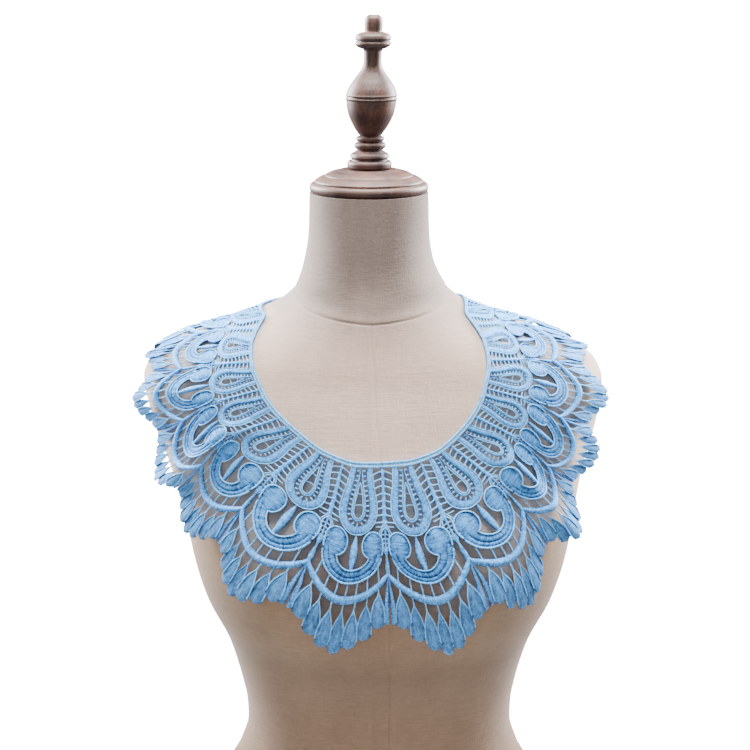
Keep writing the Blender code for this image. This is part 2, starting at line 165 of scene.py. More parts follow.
MM = 0.001
FORM_SECTIONS = (
    # height, half width, front, back, side, power
    (0, 154, -88, 96, 4, 2.2), (6, 158, -92, 100, 4, 2.2), (80, 166, -100, 110, 5, 2.2),
    (130, 156, -99, 104, 3, 2.2), (170, 138, -96, 94, 1, 2.2), (200, 122, -91, 83, -1, 2.1),
    (225, 115, -88, 77, -2, 2.1), (245, 116, -89, 77, -1, 2.1), (260, 119, -91, 80, 0, 2.1),
    (300, 131, -102, 88, 4, 2.1), (340, 151, -115, 96, 8, 2.1), (375, 162, -122, 102, 13, 2.1),
    (410, 169, -119, 108, 20, 2.1), (450, 180, -110, 112, 31, 2.0), (490, 194, -99, 112, 40, 1.9),
    (520, 199, -90, 108, 44, 1.88), (540, 191, -83, 103, 44, 1.85), (552, 174, -79, 100, 42, 1.85),
    (564, 147, -74, 95, 37, 1.85), (576, 114, -69, 90, 32, 1.85), (588, 85, -64, 84, 26, 1.88),
    (600, 67, -60, 78, 20, 1.9), (612, 60.5, -56, 72, 14, 2.0), (630, 54, -53, 66, 9, 2.0),
    (652, 50.5, -51, 60, 5, 2.0), (686, 49.3, -48, 52, 2, 2.0),
)
FORM_LEAN = (
    # height, shift towards +X
    (0, 6.3), (300, 6.5), (375, 7.4), (440, 5.0), (500, 2.0), (555, 0.0), (604, -0.8), (632, -2.3),
    (686, -2.1),
)
BUST_OFFSET = 82
BUST_HEIGHT = 372
BUST_RISE = 8
BUST_SPREAD_ACROSS = 48
BUST_SPREAD_UP = 55
BOX_CENTRE_Y = 5.2
FORM_HEIGHT = 686
WAIST_HEIGHT = 240
WAIST_RADIUS = 120
NECK_SEAM_FRONT = 587
NECK_SEAM_RISE = 29
NECK_SEAM_REACH = 45
FRONT_SEAM_DRIFT = 12
FRONT_SEAM_SPREAD = 30
PANEL_SEAMS_DEGREES = (0, 90, 180, 270)
PANEL_COLUMNS = 40
SEAM_STEPS = (-1.6, -0.8, -0.4, 0, 0.4, 0.8, 1.6)
SEAM_HALF_WIDTH = 0.8
# A seam draws the cover in, and its turnings raise it a little beside: how far in, how far up, how
# far off the seam that is and how wide.
PANEL_SEAM = (0.55, 0.18, 2.6, 1.4)
NECK_SEAM = (0.6, 0.25, 2.2, 1.6)
MM_PER_DEGREE = 1.9
RELIEF_FADES_LOW = 60
RELIEF_FADES_HIGH = 40
LUMPS = 0.25
FOOT_ROUNDING = 0.006
FORM_SHARP_DEGREES = 50


def smooth(at, places, values):
    """Monotone cubic curve through the table's values."""
    places = np.asarray(places, float)
    values = np.asarray(values, float)
    steps = np.diff(places)
    slopes = np.diff(values) / steps
    tangents = np.zeros(len(places))
    for i in range(1, len(places) - 1):
        if slopes[i - 1] * slopes[i] > 0:
            before = 2 * steps[i] + steps[i - 1]
            after = steps[i] + 2 * steps[i - 1]
            tangents[i] = (before + after) / (before / slopes[i - 1] + after / slopes[i])
    tangents[0] = slopes[0]
    tangents[-1] = slopes[-1]
    at = np.clip(at, places[0], places[-1])
    i = np.clip(np.searchsorted(places, at) - 1, 0, len(steps) - 1)
    t = (at - places[i]) / steps[i]
    return (
        (2 * t**3 - 3 * t**2 + 1) * values[i]
        + (t**3 - 2 * t**2 + t) * steps[i] * tangents[i]
        + (3 * t**2 - 2 * t**3) * values[i + 1]
        + (t**3 - t**2) * steps[i] * tangents[i + 1]
    )


def form_point(bearing, height):
    """Point of the form's skin, in mm, at a bearing in radians from the front and a height."""
    bearing = np.asarray(bearing, float)
    height = np.asarray(height, float) + 0 * bearing
    columns = np.array(FORM_SECTIONS, float).T
    half_width, front, back, side, power = (smooth(height, columns[0], c) for c in columns[1:])
    across = np.abs(np.sin(bearing))
    ahead = np.cos(bearing)
    half_depth = np.where(ahead > 0, side - front, back - side)
    radius = ((across / half_width) ** power + (np.abs(ahead) / half_depth) ** power) ** (-1 / power)
    out = (radius * across - BUST_OFFSET) / BUST_SPREAD_ACROSS
    up = (height - BUST_HEIGHT) / BUST_SPREAD_UP
    radius = radius + BUST_RISE * np.exp(-out**2 - up**2) * np.maximum(ahead, 0)
    lean_heights, lean_shifts = np.array(FORM_LEAN, float).T
    x = radius * np.sin(bearing) + smooth(height, lean_heights, lean_shifts)
    y = side - radius * ahead + BOX_CENTRE_Y
    return np.stack([x, y, height], axis=-1)


def form_normal(bearing, height):
    """Outward direction of the form's skin."""
    step_round = 0.01
    step_up = 0.5
    round_it = form_point(bearing + step_round, height) - form_point(bearing - step_round, height)
    up_it = form_point(bearing, height + step_up) - form_point(bearing, height - step_up)
    normal = np.cross(round_it, up_it)
    return normal / np.linalg.norm(normal, axis=-1, keepdims=True)


def mesh_object(name, points, faces, material=None, edges=()):
    """Mesh object from its points, its place in its mesh."""
    mesh = bpy.data.meshes.new(name)
    mesh.from_pydata([tuple(p) for p in points], edges, [tuple(f) for f in faces])
    mesh.update()
    if material:
        mesh.materials.append(material)
    obj = bpy.data.objects.new(name, mesh)
    bpy.context.scene.collection.objects.link(obj)
    return obj


def closed_tube(rings, low_pole, high_pole):
    """Points and faces of a body of level rings, low ring first, closed at both ends."""
    sides = len(rings[0])
    pole = len(rings) * sides
    faces = []
    for low in range(0, pole - sides, sides):
        for i in range(sides):
            j = (i + 1) % sides
            faces.append((low + i, low + j, low + sides + j, low + sides + i))
    for i in range(sides):
        j = (i + 1) % sides
        faces.append((j, i, pole))
        faces.append((pole - sides + i, pole - sides + j, pole + 1))
    return np.concatenate([*rings, [low_pole, high_pole]]), faces


def seam_relief(off_seam, sunk, swell, swell_at, swell_width):
    """Height of the cover in mm at a distance off a seam."""
    raised = swell * np.exp(-((off_seam - swell_at) / swell_width) ** 2)
    return raised - sunk * np.exp(-(off_seam / SEAM_HALF_WIDTH) ** 2)


form_degrees = []
for seam in PANEL_SEAMS_DEGREES:
    form_degrees += [seam + step for step in SEAM_STEPS]
    panel = np.linspace(seam + SEAM_STEPS[-1], seam + 90 - SEAM_STEPS[-1], PANEL_COLUMNS + 1)
    form_degrees += list(panel[1:-1])
form_bearings = np.radians(sorted(form_degrees))
form_levels = sorted(
    [0, 0.6, 2, 4, 6]
    + list(np.arange(12, NECK_SEAM_FRONT - 5, 6.0))
    + [NECK_SEAM_FRONT + 1.5 * step for step in SEAM_STEPS]
    + list(np.arange(NECK_SEAM_FRONT + 5, FORM_HEIGHT, 4.0))
    + [FORM_HEIGHT - 1.5, FORM_HEIGHT - 0.4, FORM_HEIGHT])
form_rings = []
for level in form_levels:
    over_seam = level - NECK_SEAM_FRONT
    fades = min(1, level / RELIEF_FADES_LOW, (FORM_HEIGHT - level) / RELIEF_FADES_HIGH)
    rise = NECK_SEAM_RISE * (np.sin(form_bearings / 2) ** 2) ** 0.7
    heights = level + rise * math.exp(-(over_seam / NECK_SEAM_REACH) ** 2) * fades
    wrapped = (np.degrees(form_bearings) + 180) % 360 - 180
    down = np.clip((NECK_SEAM_FRONT - heights) / (NECK_SEAM_FRONT - WAIST_HEIGHT), 0, 1)
    drift = FRONT_SEAM_DRIFT / WAIST_RADIUS * down * np.exp(-(wrapped / FRONT_SEAM_SPREAD) ** 2)
    bearings = form_bearings + drift
    beside = np.min([np.abs((wrapped - seam + 180) % 360 - 180) for seam in PANEL_SEAMS_DEGREES], axis=0)
    below_neck = 1 / (1 + math.exp(over_seam / 1.5))
    panel_seam = seam_relief(beside * MM_PER_DEGREE, *PANEL_SEAM) * below_neck
    neck_seam = seam_relief(over_seam, *NECK_SEAM)
    lumps = LUMPS * np.sin(3 * bearings + level / 37) * np.sin(level / 23 + 1.3)
    raised = (panel_seam + lumps) * fades + neck_seam
    ring = form_point(bearings, heights) + form_normal(bearings, heights) * raised[:, None]
    if level < 1:
        ring[:, :2] -= (ring[:, :2] - [0, BOX_CENTRE_Y]) * FOOT_ROUNDING
        ring[:, 2] = level
    form_rings.append(ring)
form_rings[-1][:, 2] = FORM_HEIGHT
cover_points, cover_faces = closed_tube(
    form_rings, (0, BOX_CENTRE_Y + 4, 0), (0, BOX_CENTRE_Y + 2, FORM_HEIGHT))

# Plain woven linen, undyed: matt, with uneven threads. Threads are 0.5 mm apart in real linen and
# are drawn 1.3 mm apart here. Below the breast the cover's front has browned, and it is also painted
# darker there as shade under the breast; up the neck the cover is painted darker as shade.
THREAD = 1.3 * MM
MEAN_RADIUS = 0.15
CLOTH_LAYERS = (
    # layer, its size across and up in m, detail
    ("weft", 1 / 90, THREAD, 2), ("warp", THREAD, 1 / 90, 2), ("slubs", 1 / 28, 1 / 420, 2),
    ("blotches", 1 / 22, 1 / 16, 4),
)
FRONT_TONES = (
    # height in m, colour
    (0.20, "#765e4c"), (0.30, "#614d3c"), (0.40, "#876d54"), (0.46, "#d8b9a6"), (0.52, "#c9b1a2"),
    (0.56, "#a99387"), (0.60, "#7a6c65"), (0.69, "#72645d"),
)
BACK_TONES = (
    # height in m, colour of the back, which has darkened more evenly than the front, with the same
    # painted shade up the neck
    (0.15, "#7c6452"), (0.30, "#866e5c"), (0.42, "#a18a7a"), (0.52, "#b39d90"), (0.60, "#84766f"),
    (0.69, "#72645d"),
)
LACE_SHADOW_TONES = (
    # height in m, painted colour of the linen in the lace's shadow
    (0.33, "#84776e"), (0.39, "#7e7068"), (0.45, "#666c76"), (0.50, "#8a8a8e"), (0.54, "#a89f9b"),
)
# Painted colour of the lace's shadow on the linen towards the shoulders' ends.
LACE_SHADOW_SIDES = "#a59d9a"

linen, cloth, linen_shader, linen_place = node_material("undyed_woven_linen")
linen_parts = add_node(cloth, "ShaderNodeSeparateXYZ", (linen_place,))
round_angle = add_node(cloth, "ShaderNodeMath", linen_parts.outputs[:2], operation="ARCTAN2")
warp_place = add_node(cloth, "ShaderNodeMath", (round_angle, MEAN_RADIUS), operation="MULTIPLY")
cloth_place = add_node(cloth, "ShaderNodeCombineXYZ", (warp_place, linen_parts.outputs[2], 0.0))
layers = {}
for layer, across, up, detail in CLOTH_LAYERS:
    stretched = add_node(cloth, "ShaderNodeMapping", {
        "Vector": cloth_place, "Scale": (1 / across, 1 / up, 1)})
    layers[layer] = add_node(cloth, "ShaderNodeTexNoise", {
        "Vector": stretched, "Scale": 1.0, "Detail": detail})
weave = add_node(cloth, "ShaderNodeMath", (layers["weft"], layers["warp"]), operation="ADD")


def height_ramp(tones):
    """Colour that changes with height through a table's stops."""
    low = tones[0][0]
    span = tones[-1][0] - low
    place = add_node(cloth, "ShaderNodeMapRange", (linen_parts.outputs[2], low, low + span))
    ramp = add_node(cloth, "ShaderNodeValToRGB", (place,))
    stops = ramp.color_ramp.elements
    for height, unused in tones[1:-1]:
        stops.new((height - low) / span)
    for stop, (unused, colour) in zip(stops, tones):
        stop.color = linear(colour)
    return ramp


tone = 1.0
for layer_range in (
        # layer, its low and high, and the shares of the colour that they give
        (weave, 0.6, 1.4, 0.73, 0.94), (layers["slubs"], 0.3, 0.7, 0.94, 1.05),
        (layers["blotches"], 0.3, 0.7, 0.93, 1.05)):
    layer_tone = add_node(cloth, "ShaderNodeMapRange", layer_range)
    tone = add_node(cloth, "ShaderNodeMath", (tone, layer_tone), operation="MULTIPLY")
# The height ramps hold painted shade up the neck and, on the front, under the breast.
at_back = add_node(cloth, "ShaderNodeMapRange", (linen_parts.outputs[1], -0.03, 0.03))
open_linen = add_node(cloth, "ShaderNodeMix", {
    0: at_back, 6: height_ramp(FRONT_TONES), 7: height_ramp(BACK_TONES)}, data_type="RGBA")
# Under the lace the linen is painted greyer and darker, as the lace's shadow, and less so towards
# the shoulders' ends.
# How much of the lace's painted shadow each point of the cover takes.
covered = add_node(cloth, "ShaderNodeAttribute", attribute_name="painted_lace_shadow")
sideways = add_node(cloth, "ShaderNodeMath", (linen_parts.outputs[0],), operation="ABSOLUTE")
at_sides = add_node(cloth, "ShaderNodeMapRange", (sideways, 0.045, 0.10, 0.0, 0.8))
lace_shadow_colour = add_node(cloth, "ShaderNodeMix", {
    0: at_sides, 6: height_ramp(LACE_SHADOW_TONES), 7: linear(LACE_SHADOW_SIDES)}, data_type="RGBA")
linen_colour = add_node(cloth, "ShaderNodeMix", {
    0: covered.outputs["Fac"], 6: open_linen, 7: lace_shadow_colour}, data_type="RGBA")
toned = add_node(cloth, "ShaderNodeVectorMath", {0: linen_colour, "Scale": tone}, operation="SCALE")
weave_relief = add_node(cloth, "ShaderNodeBump", {
    "Height": weave, "Strength": 0.35, "Distance": 0.4 * MM})
slub_relief = add_node(cloth, "ShaderNodeBump", {
    "Height": layers["slubs"], "Normal": weave_relief, "Strength": 0.3, "Distance": 0.5 * MM})
set_inputs(linen_shader, {
    "Base Color": toned, "Normal": slub_relief, "Roughness": 0.9, "Specular IOR Level": 0.25,
    "Sheen Weight": 0.08, "Sheen Roughness": 0.6})

form_cover = mesh_object("form_cover", cover_points * MM, cover_faces, linen)
form_cover.data.shade_smooth()
form_cover.data.set_sharp_from_angle(angle=math.radians(FORM_SHARP_DEGREES))
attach(form_cover, "root")
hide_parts("form_body")


# ---- Neck cap and finial --------------------------------------------------------------------
# Two hardwood turnings, dark stained and waxed: a low stepped dome that closes the neck, and a
# finial like a chess pawn that is screwed into it. Their edges are rubbed light by hands.

NECK_CENTRE_Y = 2
CAP_PROFILE = (
    # radius, height, bulge of the stretch before, worn
    (0, 705.4, 0, 0), (19.5, 705.2, 0, 0), (25.0, 704.8, 0.1, 0.2), (25.6, 704.2, 0.3, 1.0),
    (27.0, 704.1, 0, 0.1), (32.0, 703.0, 0.06, 0.1), (36.0, 700.9, 0.06, 0.2), (36.8, 700.0, 0.3, 1.0),
    (38.0, 699.9, 0, 0.1), (43.0, 697.4, 0.08, 0.2), (44.9, 696.0, 0.1, 0.6), (45.2, 694.9, 0.3, 0.4),
    (45.0, 694.4, -0.2, 0), (47.0, 694.0, 0, 0.3), (49.2, 691.8, 0.25, 0.9), (49.4, 690.0, 0.15, 0.5),
    (48.6, 687.6, 0.15, 0.1), (46.5, 686.3, 0.1, 0), (0, 686.3, 0, 0),
)
FINIAL_PROFILE = (
    # radius, height, bulge of the stretch before, worn
    (0, 830.3, 0, 0), (4.2, 830.2, 0, 0.4), (7.0, 827.4, 0.12, 0.3), (7.6, 823.5, 0.08, 0),
    (7.3, 817.2, 0.02, 0), (7.8, 816.4, -0.3, 0), (12.2, 815.2, 0.08, 0.3), (14.6, 812.4, 0.25, 0.5),
    (14.6, 810.2, 0.2, 0.4), (13.7, 809.6, 0, 1.0), (13.7, 808.9, 0, 1.0), (14.6, 808.2, 0.2, 0.7),
    (14.3, 805.8, 0.3, 0.2), (11.6, 803.8, 0.1, 0), (8.2, 802.6, 0, 0), (7.5, 800.6, -0.2, 0),
    (7.4, 795.0, 0, 0), (8.0, 789.5, -0.04, 0.05), (10.8, 784.0, -0.06, 0.1), (14.6, 778.6, 0.0, 0.1),
    (18.4, 773.0, 0.05, 0.1), (20.6, 768.0, 0.08, 0.1), (20.9, 766.4, 0, 0.3), (21.4, 765.6, 0.3, 1.0),
    (20.7, 764.6, 0.2, 0.2), (20.8, 763.6, 0, 0.2), (21.4, 762.8, 0.3, 1.0), (20.7, 761.6, 0.2, 0.3),
    (20.3, 757.5, 0.04, 0.05), (19.0, 751.0, 0.05, 0), (16.2, 744.0, 0.04, 0), (12.8, 738.0, 0.02, 0),
    (9.6, 733.6, 0, 0), (8.8, 732.4, -0.2, 0), (10.9, 731.8, 0.1, 0.3), (11.8, 730.0, 0.5, 0.5),
    (10.6, 728.2, 0.3, 0.2), (10.2, 727.4, -0.3, 0), (12.2, 726.6, 0.2, 0.3), (13.0, 724.4, 0.5, 0.5),
    (11.6, 722.0, 0.3, 0.1), (10.6, 720.9, -0.3, 0), (13.4, 719.0, 0.05, 0.2), (16.2, 716.6, 0.3, 0.4),
    (16.4, 715.0, 0.2, 0.1), (14.9, 713.4, -0.3, 0), (15.2, 712.6, 0, 0), (18.1, 711.2, 0.3, 0.4),
    (18.4, 708.4, 0.25, 0.3), (17.6, 706.2, 0.25, 0.1), (15.2, 705.7, 0.1, 0), (0, 705.7, 0, 0),
)
TURNED_SIDES = 96
TURNED_SHARP_DEGREES = 42
BENT_STEP = 0.7
MOST_BENT_STEPS = 7
STRAIGHT_STEP = 6
# The cap sits a little to one side, and the finial is screwed in a little crooked.
CAP_SHIFTS = ((686, -2.1), (706, -2.1))
FINIAL_SHIFTS = ((705, -1.8), (831, 2.0))


def turned_outline(profile):
    """Points of a turned profile, each stretch bent by its bulge, with how worn each point is."""
    outline = [(profile[0][0], profile[0][1], profile[0][3])]
    for (r0, z0, unused, worn0), (r1, z1, bulge, worn1) in zip(profile, profile[1:]):
        length = math.hypot(r1 - r0, z1 - z0)
        steps = round(length / STRAIGHT_STEP)
        if bulge:
            steps = min(MOST_BENT_STEPS, round(length / BENT_STEP))
        steps = max(1, steps)
        out = (-(z1 - z0) / length, (r1 - r0) / length)
        for i in range(1, steps + 1):
            t = i / steps
            push = bulge * length * 2 * t * (1 - t)
            worn = worn0 + (worn1 - worn0) * t
            outline.append((
                r0 + (r1 - r0) * t + out[0] * push, z0 + (z1 - z0) * t + out[1] * push, worn))
    return outline


def give_values(obj, name, kind, values):
    """Gives every point of an object a named number or vector."""
    attribute = obj.data.attributes.new(name, kind, "POINT")
    attribute.data.foreach_set("vector" if kind == "FLOAT_VECTOR" else "value", np.ravel(values))


def turned_object(name, profile, shifts, material):
    """Lathe turning of a profile that starts and ends on the axis, leaned by its shifts."""
    outline = turned_outline(profile)
    upward = outline[-2:0:-1]
    angles = 2 * math.pi * np.arange(TURNED_SIDES) / TURNED_SIDES
    around = np.stack([np.cos(angles), np.sin(angles), 0 * angles], axis=1)
    rings = [around * radius + (0, 0, height) for radius, height, unused in upward]
    points, faces = closed_tube(rings, (0, 0, outline[-1][1]), (0, 0, outline[0][1]))
    points[:, 1] += NECK_CENTRE_Y + BOX_CENTRE_Y
    points[:, 0] += np.interp(points[:, 2], *np.array(shifts, float).T)
    worn = [row[2] for row in upward for side in range(TURNED_SIDES)] + [outline[-1][2], outline[0][2]]
    obj = mesh_object(name, points * MM, faces, material)
    give_values(obj, "worn", "FLOAT", worn)
    obj.data.shade_smooth()
    obj.data.set_sharp_from_angle(angle=math.radians(TURNED_SHARP_DEGREES))
    return obj


# Beech, stained dark red-brown and waxed: a soft gloss, a fine grain that runs up the turning, and
# lighter wood where edges are rubbed. The grain's flecks are 2 mm wide and 14 mm long, as real ones
# are, and the stain's smudges about 17 mm.
stained_wood, wood, wood_shader, wood_place = node_material("dark_stained_beech")
grain_place = add_node(wood, "ShaderNodeMapping", {"Vector": wood_place, "Scale": (500, 500, 70)})
grain = add_node(wood, "ShaderNodeTexNoise", {"Vector": grain_place, "Scale": 1.0, "Detail": 4.0})
smudge = add_node(wood, "ShaderNodeTexNoise", {
    "Vector": wood_place, "Scale": 60.0, "Detail": 5.0, "Roughness": 0.6})
smudged = add_node(wood, "ShaderNodeMapRange", (smudge, 0.35, 0.65))
stain = add_node(
    wood, "ShaderNodeMix", {0: smudged, 6: linear("#2a2020"), 7: linear("#54382f")}, data_type="RGBA")
grained = add_node(wood, "ShaderNodeMapRange", (grain, 0.3, 0.7, 0.78, 1.2))
stain_grained = add_node(wood, "ShaderNodeVectorMath", {0: stain, "Scale": grained}, operation="SCALE")
wear = add_node(wood, "ShaderNodeAttribute", attribute_name="worn")
patchy = add_node(wood, "ShaderNodeMapRange", (smudge, 0.3, 0.6, 0.35, 1.0))
wear_patchy = add_node(wood, "ShaderNodeMath", (wear.outputs["Fac"], patchy), operation="MULTIPLY")
rubbed = add_node(
    wood, "ShaderNodeMix", {0: wear_patchy, 6: stain_grained, 7: linear("#4c3a35")}, data_type="RGBA")
grain_relief = add_node(wood, "ShaderNodeBump", {
    "Height": grain, "Strength": 0.25, "Distance": 0.3 * MM})
set_inputs(wood_shader, {
    "Base Color": rubbed, "Normal": grain_relief, "Roughness": 0.5,
    "Specular IOR Level": 0.3, "Coat Weight": 0.03, "Coat Roughness": 0.3})

for turning_name, profile, shifts, node in (
        ("turned_cap", CAP_PROFILE, CAP_SHIFTS, "neck_cap"),
        ("turned_finial", FINIAL_PROFILE, FINIAL_SHIFTS, "finial")):
    turning = turned_object(turning_name, profile, shifts, stained_wood)
    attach(turning, "root")
    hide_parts(node)


# ---- Drape of the lace ----------------------------------------------------------------------
# The collar is a flat ring of 20 equal repeats. The drape is the ring's inner face as it lies on
# the shoulders, with its folds. Every tape and cord is laid on it from the flat pattern.

REPEATS = 20
FLAT_NECK_RADIUS = 101.86
LACE_DEPTH = 158.0
CLEARANCE = 1.0
DRAPE_DEPTHS = (0, 60, 99.5, 158)
DRAPE = (
    # neck, teardrop, scroll and hem, each a bearing and a height, then the hem's lift
    (-160.2, 588, -154.0, 536, -155.3, 499, -158.6, 441, 3),
    (-128.7, 586, -123.1, 546, -122.8, 513, -130.8, 457, 2),
    (-99.4, 585, -104.9, 561, -104.6, 537, -112.1, 486, 1),
    (-68.7, 583, -86.6, 574, -93.9, 564, -99.2, 527, 1),
    (-50.5, 564, -62.8, 560, -71.3, 553, -85.3, 539, 2),
    (-41.1, 544, -55.5, 533, -67.7, 519, -84.7, 501, 4),
    (-35.1, 526, -50.3, 507, -62.4, 477, -80.9, 449, 8),
    (-24.9, 505, -42.1, 482, -52.5, 451, -65.7, 411, 12),
    (-15.4, 490, -25.7, 448, -36.2, 416, -48.9, 371, 10),
    (-4.2, 483, -7.2, 427, -10.7, 389, -17.1, 335, 13),
    (8.6, 484, 11.7, 426, 16.0, 389, 24.5, 333, 13),
    (19.2, 490, 31.5, 447, 40.5, 416, 49.8, 363, 10),
    (28.1, 505, 44.0, 478, 54.0, 448, 67.9, 410, 12),
    (36.7, 528, 50.0, 506, 61.4, 479, 76.7, 464, 8),
    (40.8, 544, 55.2, 537, 64.8, 525, 81.4, 508, 4),
    (49.4, 567, 63.1, 564, 72.2, 560, 84.0, 546, 2),
    (63.5, 587, 86.5, 580, 96.6, 571, 99.4, 539, 1),
    (92.2, 592, 106.6, 568, 106.8, 543, 107.7, 489, 1),
    (124.8, 588, 126.1, 547, 125.0, 514, 127.3, 458, 2),
    (160.0, 588, 159.7, 537, 159.3, 502, 160.0, 446, 3),
)
HEM_RIPPLE = 3.5
RIPPLE_START_TURN = 2.5
FOLDS = (
    # neck turn, hem turn, start depth, half width, rise
    (-3.05, -3.20, 30, 0.24, 9), (2.45, 2.37, 35, 0.20, 7), (-4.55, -4.60, 70, 0.22, 4),
    (3.95, 3.85, 80, 0.22, 4), (7.35, 7.30, 60, 0.25, 5), (-8.15, -8.00, 65, 0.25, 5),
)
# The net runs a little past both edges and past centre back, so that no stitch misses it.
NET_TURNS = 11
NET_COLUMNS = 2 * NET_TURNS * 26
NET_LOW = -2.0
NET_HIGH = 162.0
NET_ROWS = 58
# The lace's shadow is painted on the linen from near the neck edge to near the hem, where it lies close.
SHADOW_START = 3
SHADOW_START_FADE = 4
SHADOW_END = 134
SHADOW_END_FADE = 10
SHADOW_REACH = 34
SHADOW_REACH_FADE = 12

bearing_columns = slice(0, 2 * len(DRAPE_DEPTHS), 2)
drape_table = np.array([*DRAPE[-2:], *DRAPE, *DRAPE[:2]], float)
drape_table[:2, bearing_columns] -= 360
drape_table[-2:, bearing_columns] += 360
drape_turns = np.arange(len(drape_table)) - (len(drape_table) - 1) / 2


def drape_column(turn, depths):
    """Places in mm down one line of the lace's inner face, and their outward directions."""
    row = [float(smooth(turn, drape_turns, column)) for column in drape_table.T]
    bearing = np.radians(smooth(depths, DRAPE_DEPTHS, row[0:-1:2]))
    height = smooth(depths, DRAPE_DEPTHS, row[1:-1:2])
    share = np.clip(depths / LACE_DEPTH, 0, 1)
    ripples = min(max(abs(turn) - RIPPLE_START_TURN, 0), 1) * (0.5 - 0.5 * math.cos(2 * math.pi * turn))
    lift = row[-1] * share**3 + HEM_RIPPLE * ripples * share**2
    for neck_turn, hem_turn, start, half_width, rise in FOLDS:
        middle = neck_turn + (hem_turn - neck_turn) * share
        grown = np.clip((depths - start) / (LACE_DEPTH - start), 0, 1)
        lift = lift + rise * np.sqrt(grown) * np.exp(-((turn - middle) / half_width) ** 2)
    outward = form_normal(bearing, height)
    places = form_point(bearing, height) + outward * (CLEARANCE + lift)[:, None]
    # Past the neck edge and the hem the net goes straight on, so that it has no folded border.
    beyond = depths - np.clip(depths, 0, LACE_DEPTH)
    down = np.gradient(places, depths, axis=0)
    neck_row = np.searchsorted(depths, 0.5)
    hem_row = np.searchsorted(depths, LACE_DEPTH) - 1
    step = np.where(beyond[:, None] < 0, down[neck_row + 1], down[hem_row - 1])
    return places + step * beyond[:, None], outward


net_depths = np.linspace(NET_LOW, NET_HIGH, NET_ROWS)
net_turns = np.linspace(-NET_TURNS, NET_TURNS, NET_COLUMNS + 1)
net_columns = [drape_column(turn, net_depths) for turn in net_turns]
net_places, net_outward = (np.array(rows) for rows in zip(*net_columns))
# The cloth's own outward direction, from the net itself, so that it follows the folds.
net_normals = np.cross(np.gradient(net_places, axis=0), np.gradient(net_places, axis=1))
net_normals /= np.linalg.norm(net_normals, axis=-1, keepdims=True)
net_normals *= np.sign(np.sum(net_normals * net_outward, axis=-1, keepdims=True))
net_shares = np.meshgrid(np.linspace(0, 1, NET_COLUMNS + 1), np.linspace(0, 1, NET_ROWS), indexing="ij")
net_faces = []
for column in range(NET_COLUMNS):
    for first in range(column * NET_ROWS, (column + 1) * NET_ROWS - 1):
        net_faces.append((first, first + 1, first + NET_ROWS + 1, first + NET_ROWS))
drape_net = mesh_object("drape_net", net_places.reshape(-1, 3) * MM, net_faces)
net_uv = np.stack([*net_shares, 0 * net_shares[0]], axis=-1)
give_values(drape_net, "pattern_place", "FLOAT_VECTOR", net_uv)
give_values(drape_net, "outward", "FLOAT_VECTOR", net_normals)

# How far each point of the cover lies under the lace, which sets the painted shadow on the linen there.
net_tree = KDTree(len(net_places) * NET_ROWS)
for index, place in enumerate(net_places.reshape(-1, 3)):
    net_tree.insert(place, index)
net_tree.balance()
painted_lace_shadow = []
for place in cover_points:
    index, distance = net_tree.find(place)[1:]
    depth = net_depths[index % NET_ROWS]
    inside = min(
        (depth - SHADOW_START) / SHADOW_START_FADE, (SHADOW_END - depth) / SHADOW_END_FADE,
        (SHADOW_REACH - distance) / SHADOW_REACH_FADE)
    painted_lace_shadow.append(min(max(inside, 0), 1))
give_values(form_cover, "painted_lace_shadow", "FLOAT", painted_lace_shadow)


# ---- Lace: how each tape and cord is laid ---------------------------------------------------
# Guipure is worked by machine on a ground that is dissolved, so it is all dense satin stitch and
# cord. One repeat is drawn flat as centre lines, and this tree works them round the whole ring.

SECTIONS = {
    # Half outline of each cross-section: across from -1 to 1 and height from 0 to 1.
    "edged_tape": (
        (-1, 0), (-1, 0.5), (-0.93, 0.68), (-0.82, 0.66), (-0.6, 0.88), (-0.2, 1.0), (0.3, 0.98),
        (0.66, 0.86), (0.84, 0.64), (0.94, 0.66), (1, 0.45), (1, 0)),
    "grooved_tape": (
        (-1, 0), (-1, 0.55), (-0.88, 0.8), (-0.74, 0.62), (-0.6, 0.86), (-0.4, 0.98), (-0.24, 0.86),
        (-0.15, 0.42), (-0.05, 0.74), (0.2, 0.94), (0.5, 0.9), (0.68, 0.64), (0.84, 0.74), (1, 0.5),
        (1, 0)),
    "domed_tape": (
        (-1, 0), (-1, 0.3), (-0.84, 0.62), (-0.4, 0.93), (0.0, 1.0), (0.4, 0.93), (0.84, 0.62),
        (1, 0.3), (1, 0)),
    "corded_band": (
        (-1, 0), (-1, 0.6), (-0.86, 0.95), (-0.6, 1.0), (-0.3, 0.86), (0.0, 0.72), (0.3, 0.86),
        (0.6, 1.0), (0.86, 0.95), (1, 0.6), (1, 0)),
    "round_cord": ((-0.87, 0.25), (-0.87, 0.75), (0, 1.0), (0.87, 0.75), (0.87, 0.25), (0, 0)),
}
# Tapes and cords stray by up to half of this many mm, over stretches of 9 mm, and differently in
# each repeat. Towards the hem some stretches also stand off.
UNEVENNESS = 0.6
UNEVEN_LENGTH = 9
REPEATS_APART = 37.0
HEM_FLUTTER = 2.5
FLUTTER_FROM = 0.4


def pitch_at(depth):
    """Width of one repeat of the flat ring at a depth."""
    return 2 * math.pi * (FLAT_NECK_RADIUS + depth) / REPEATS


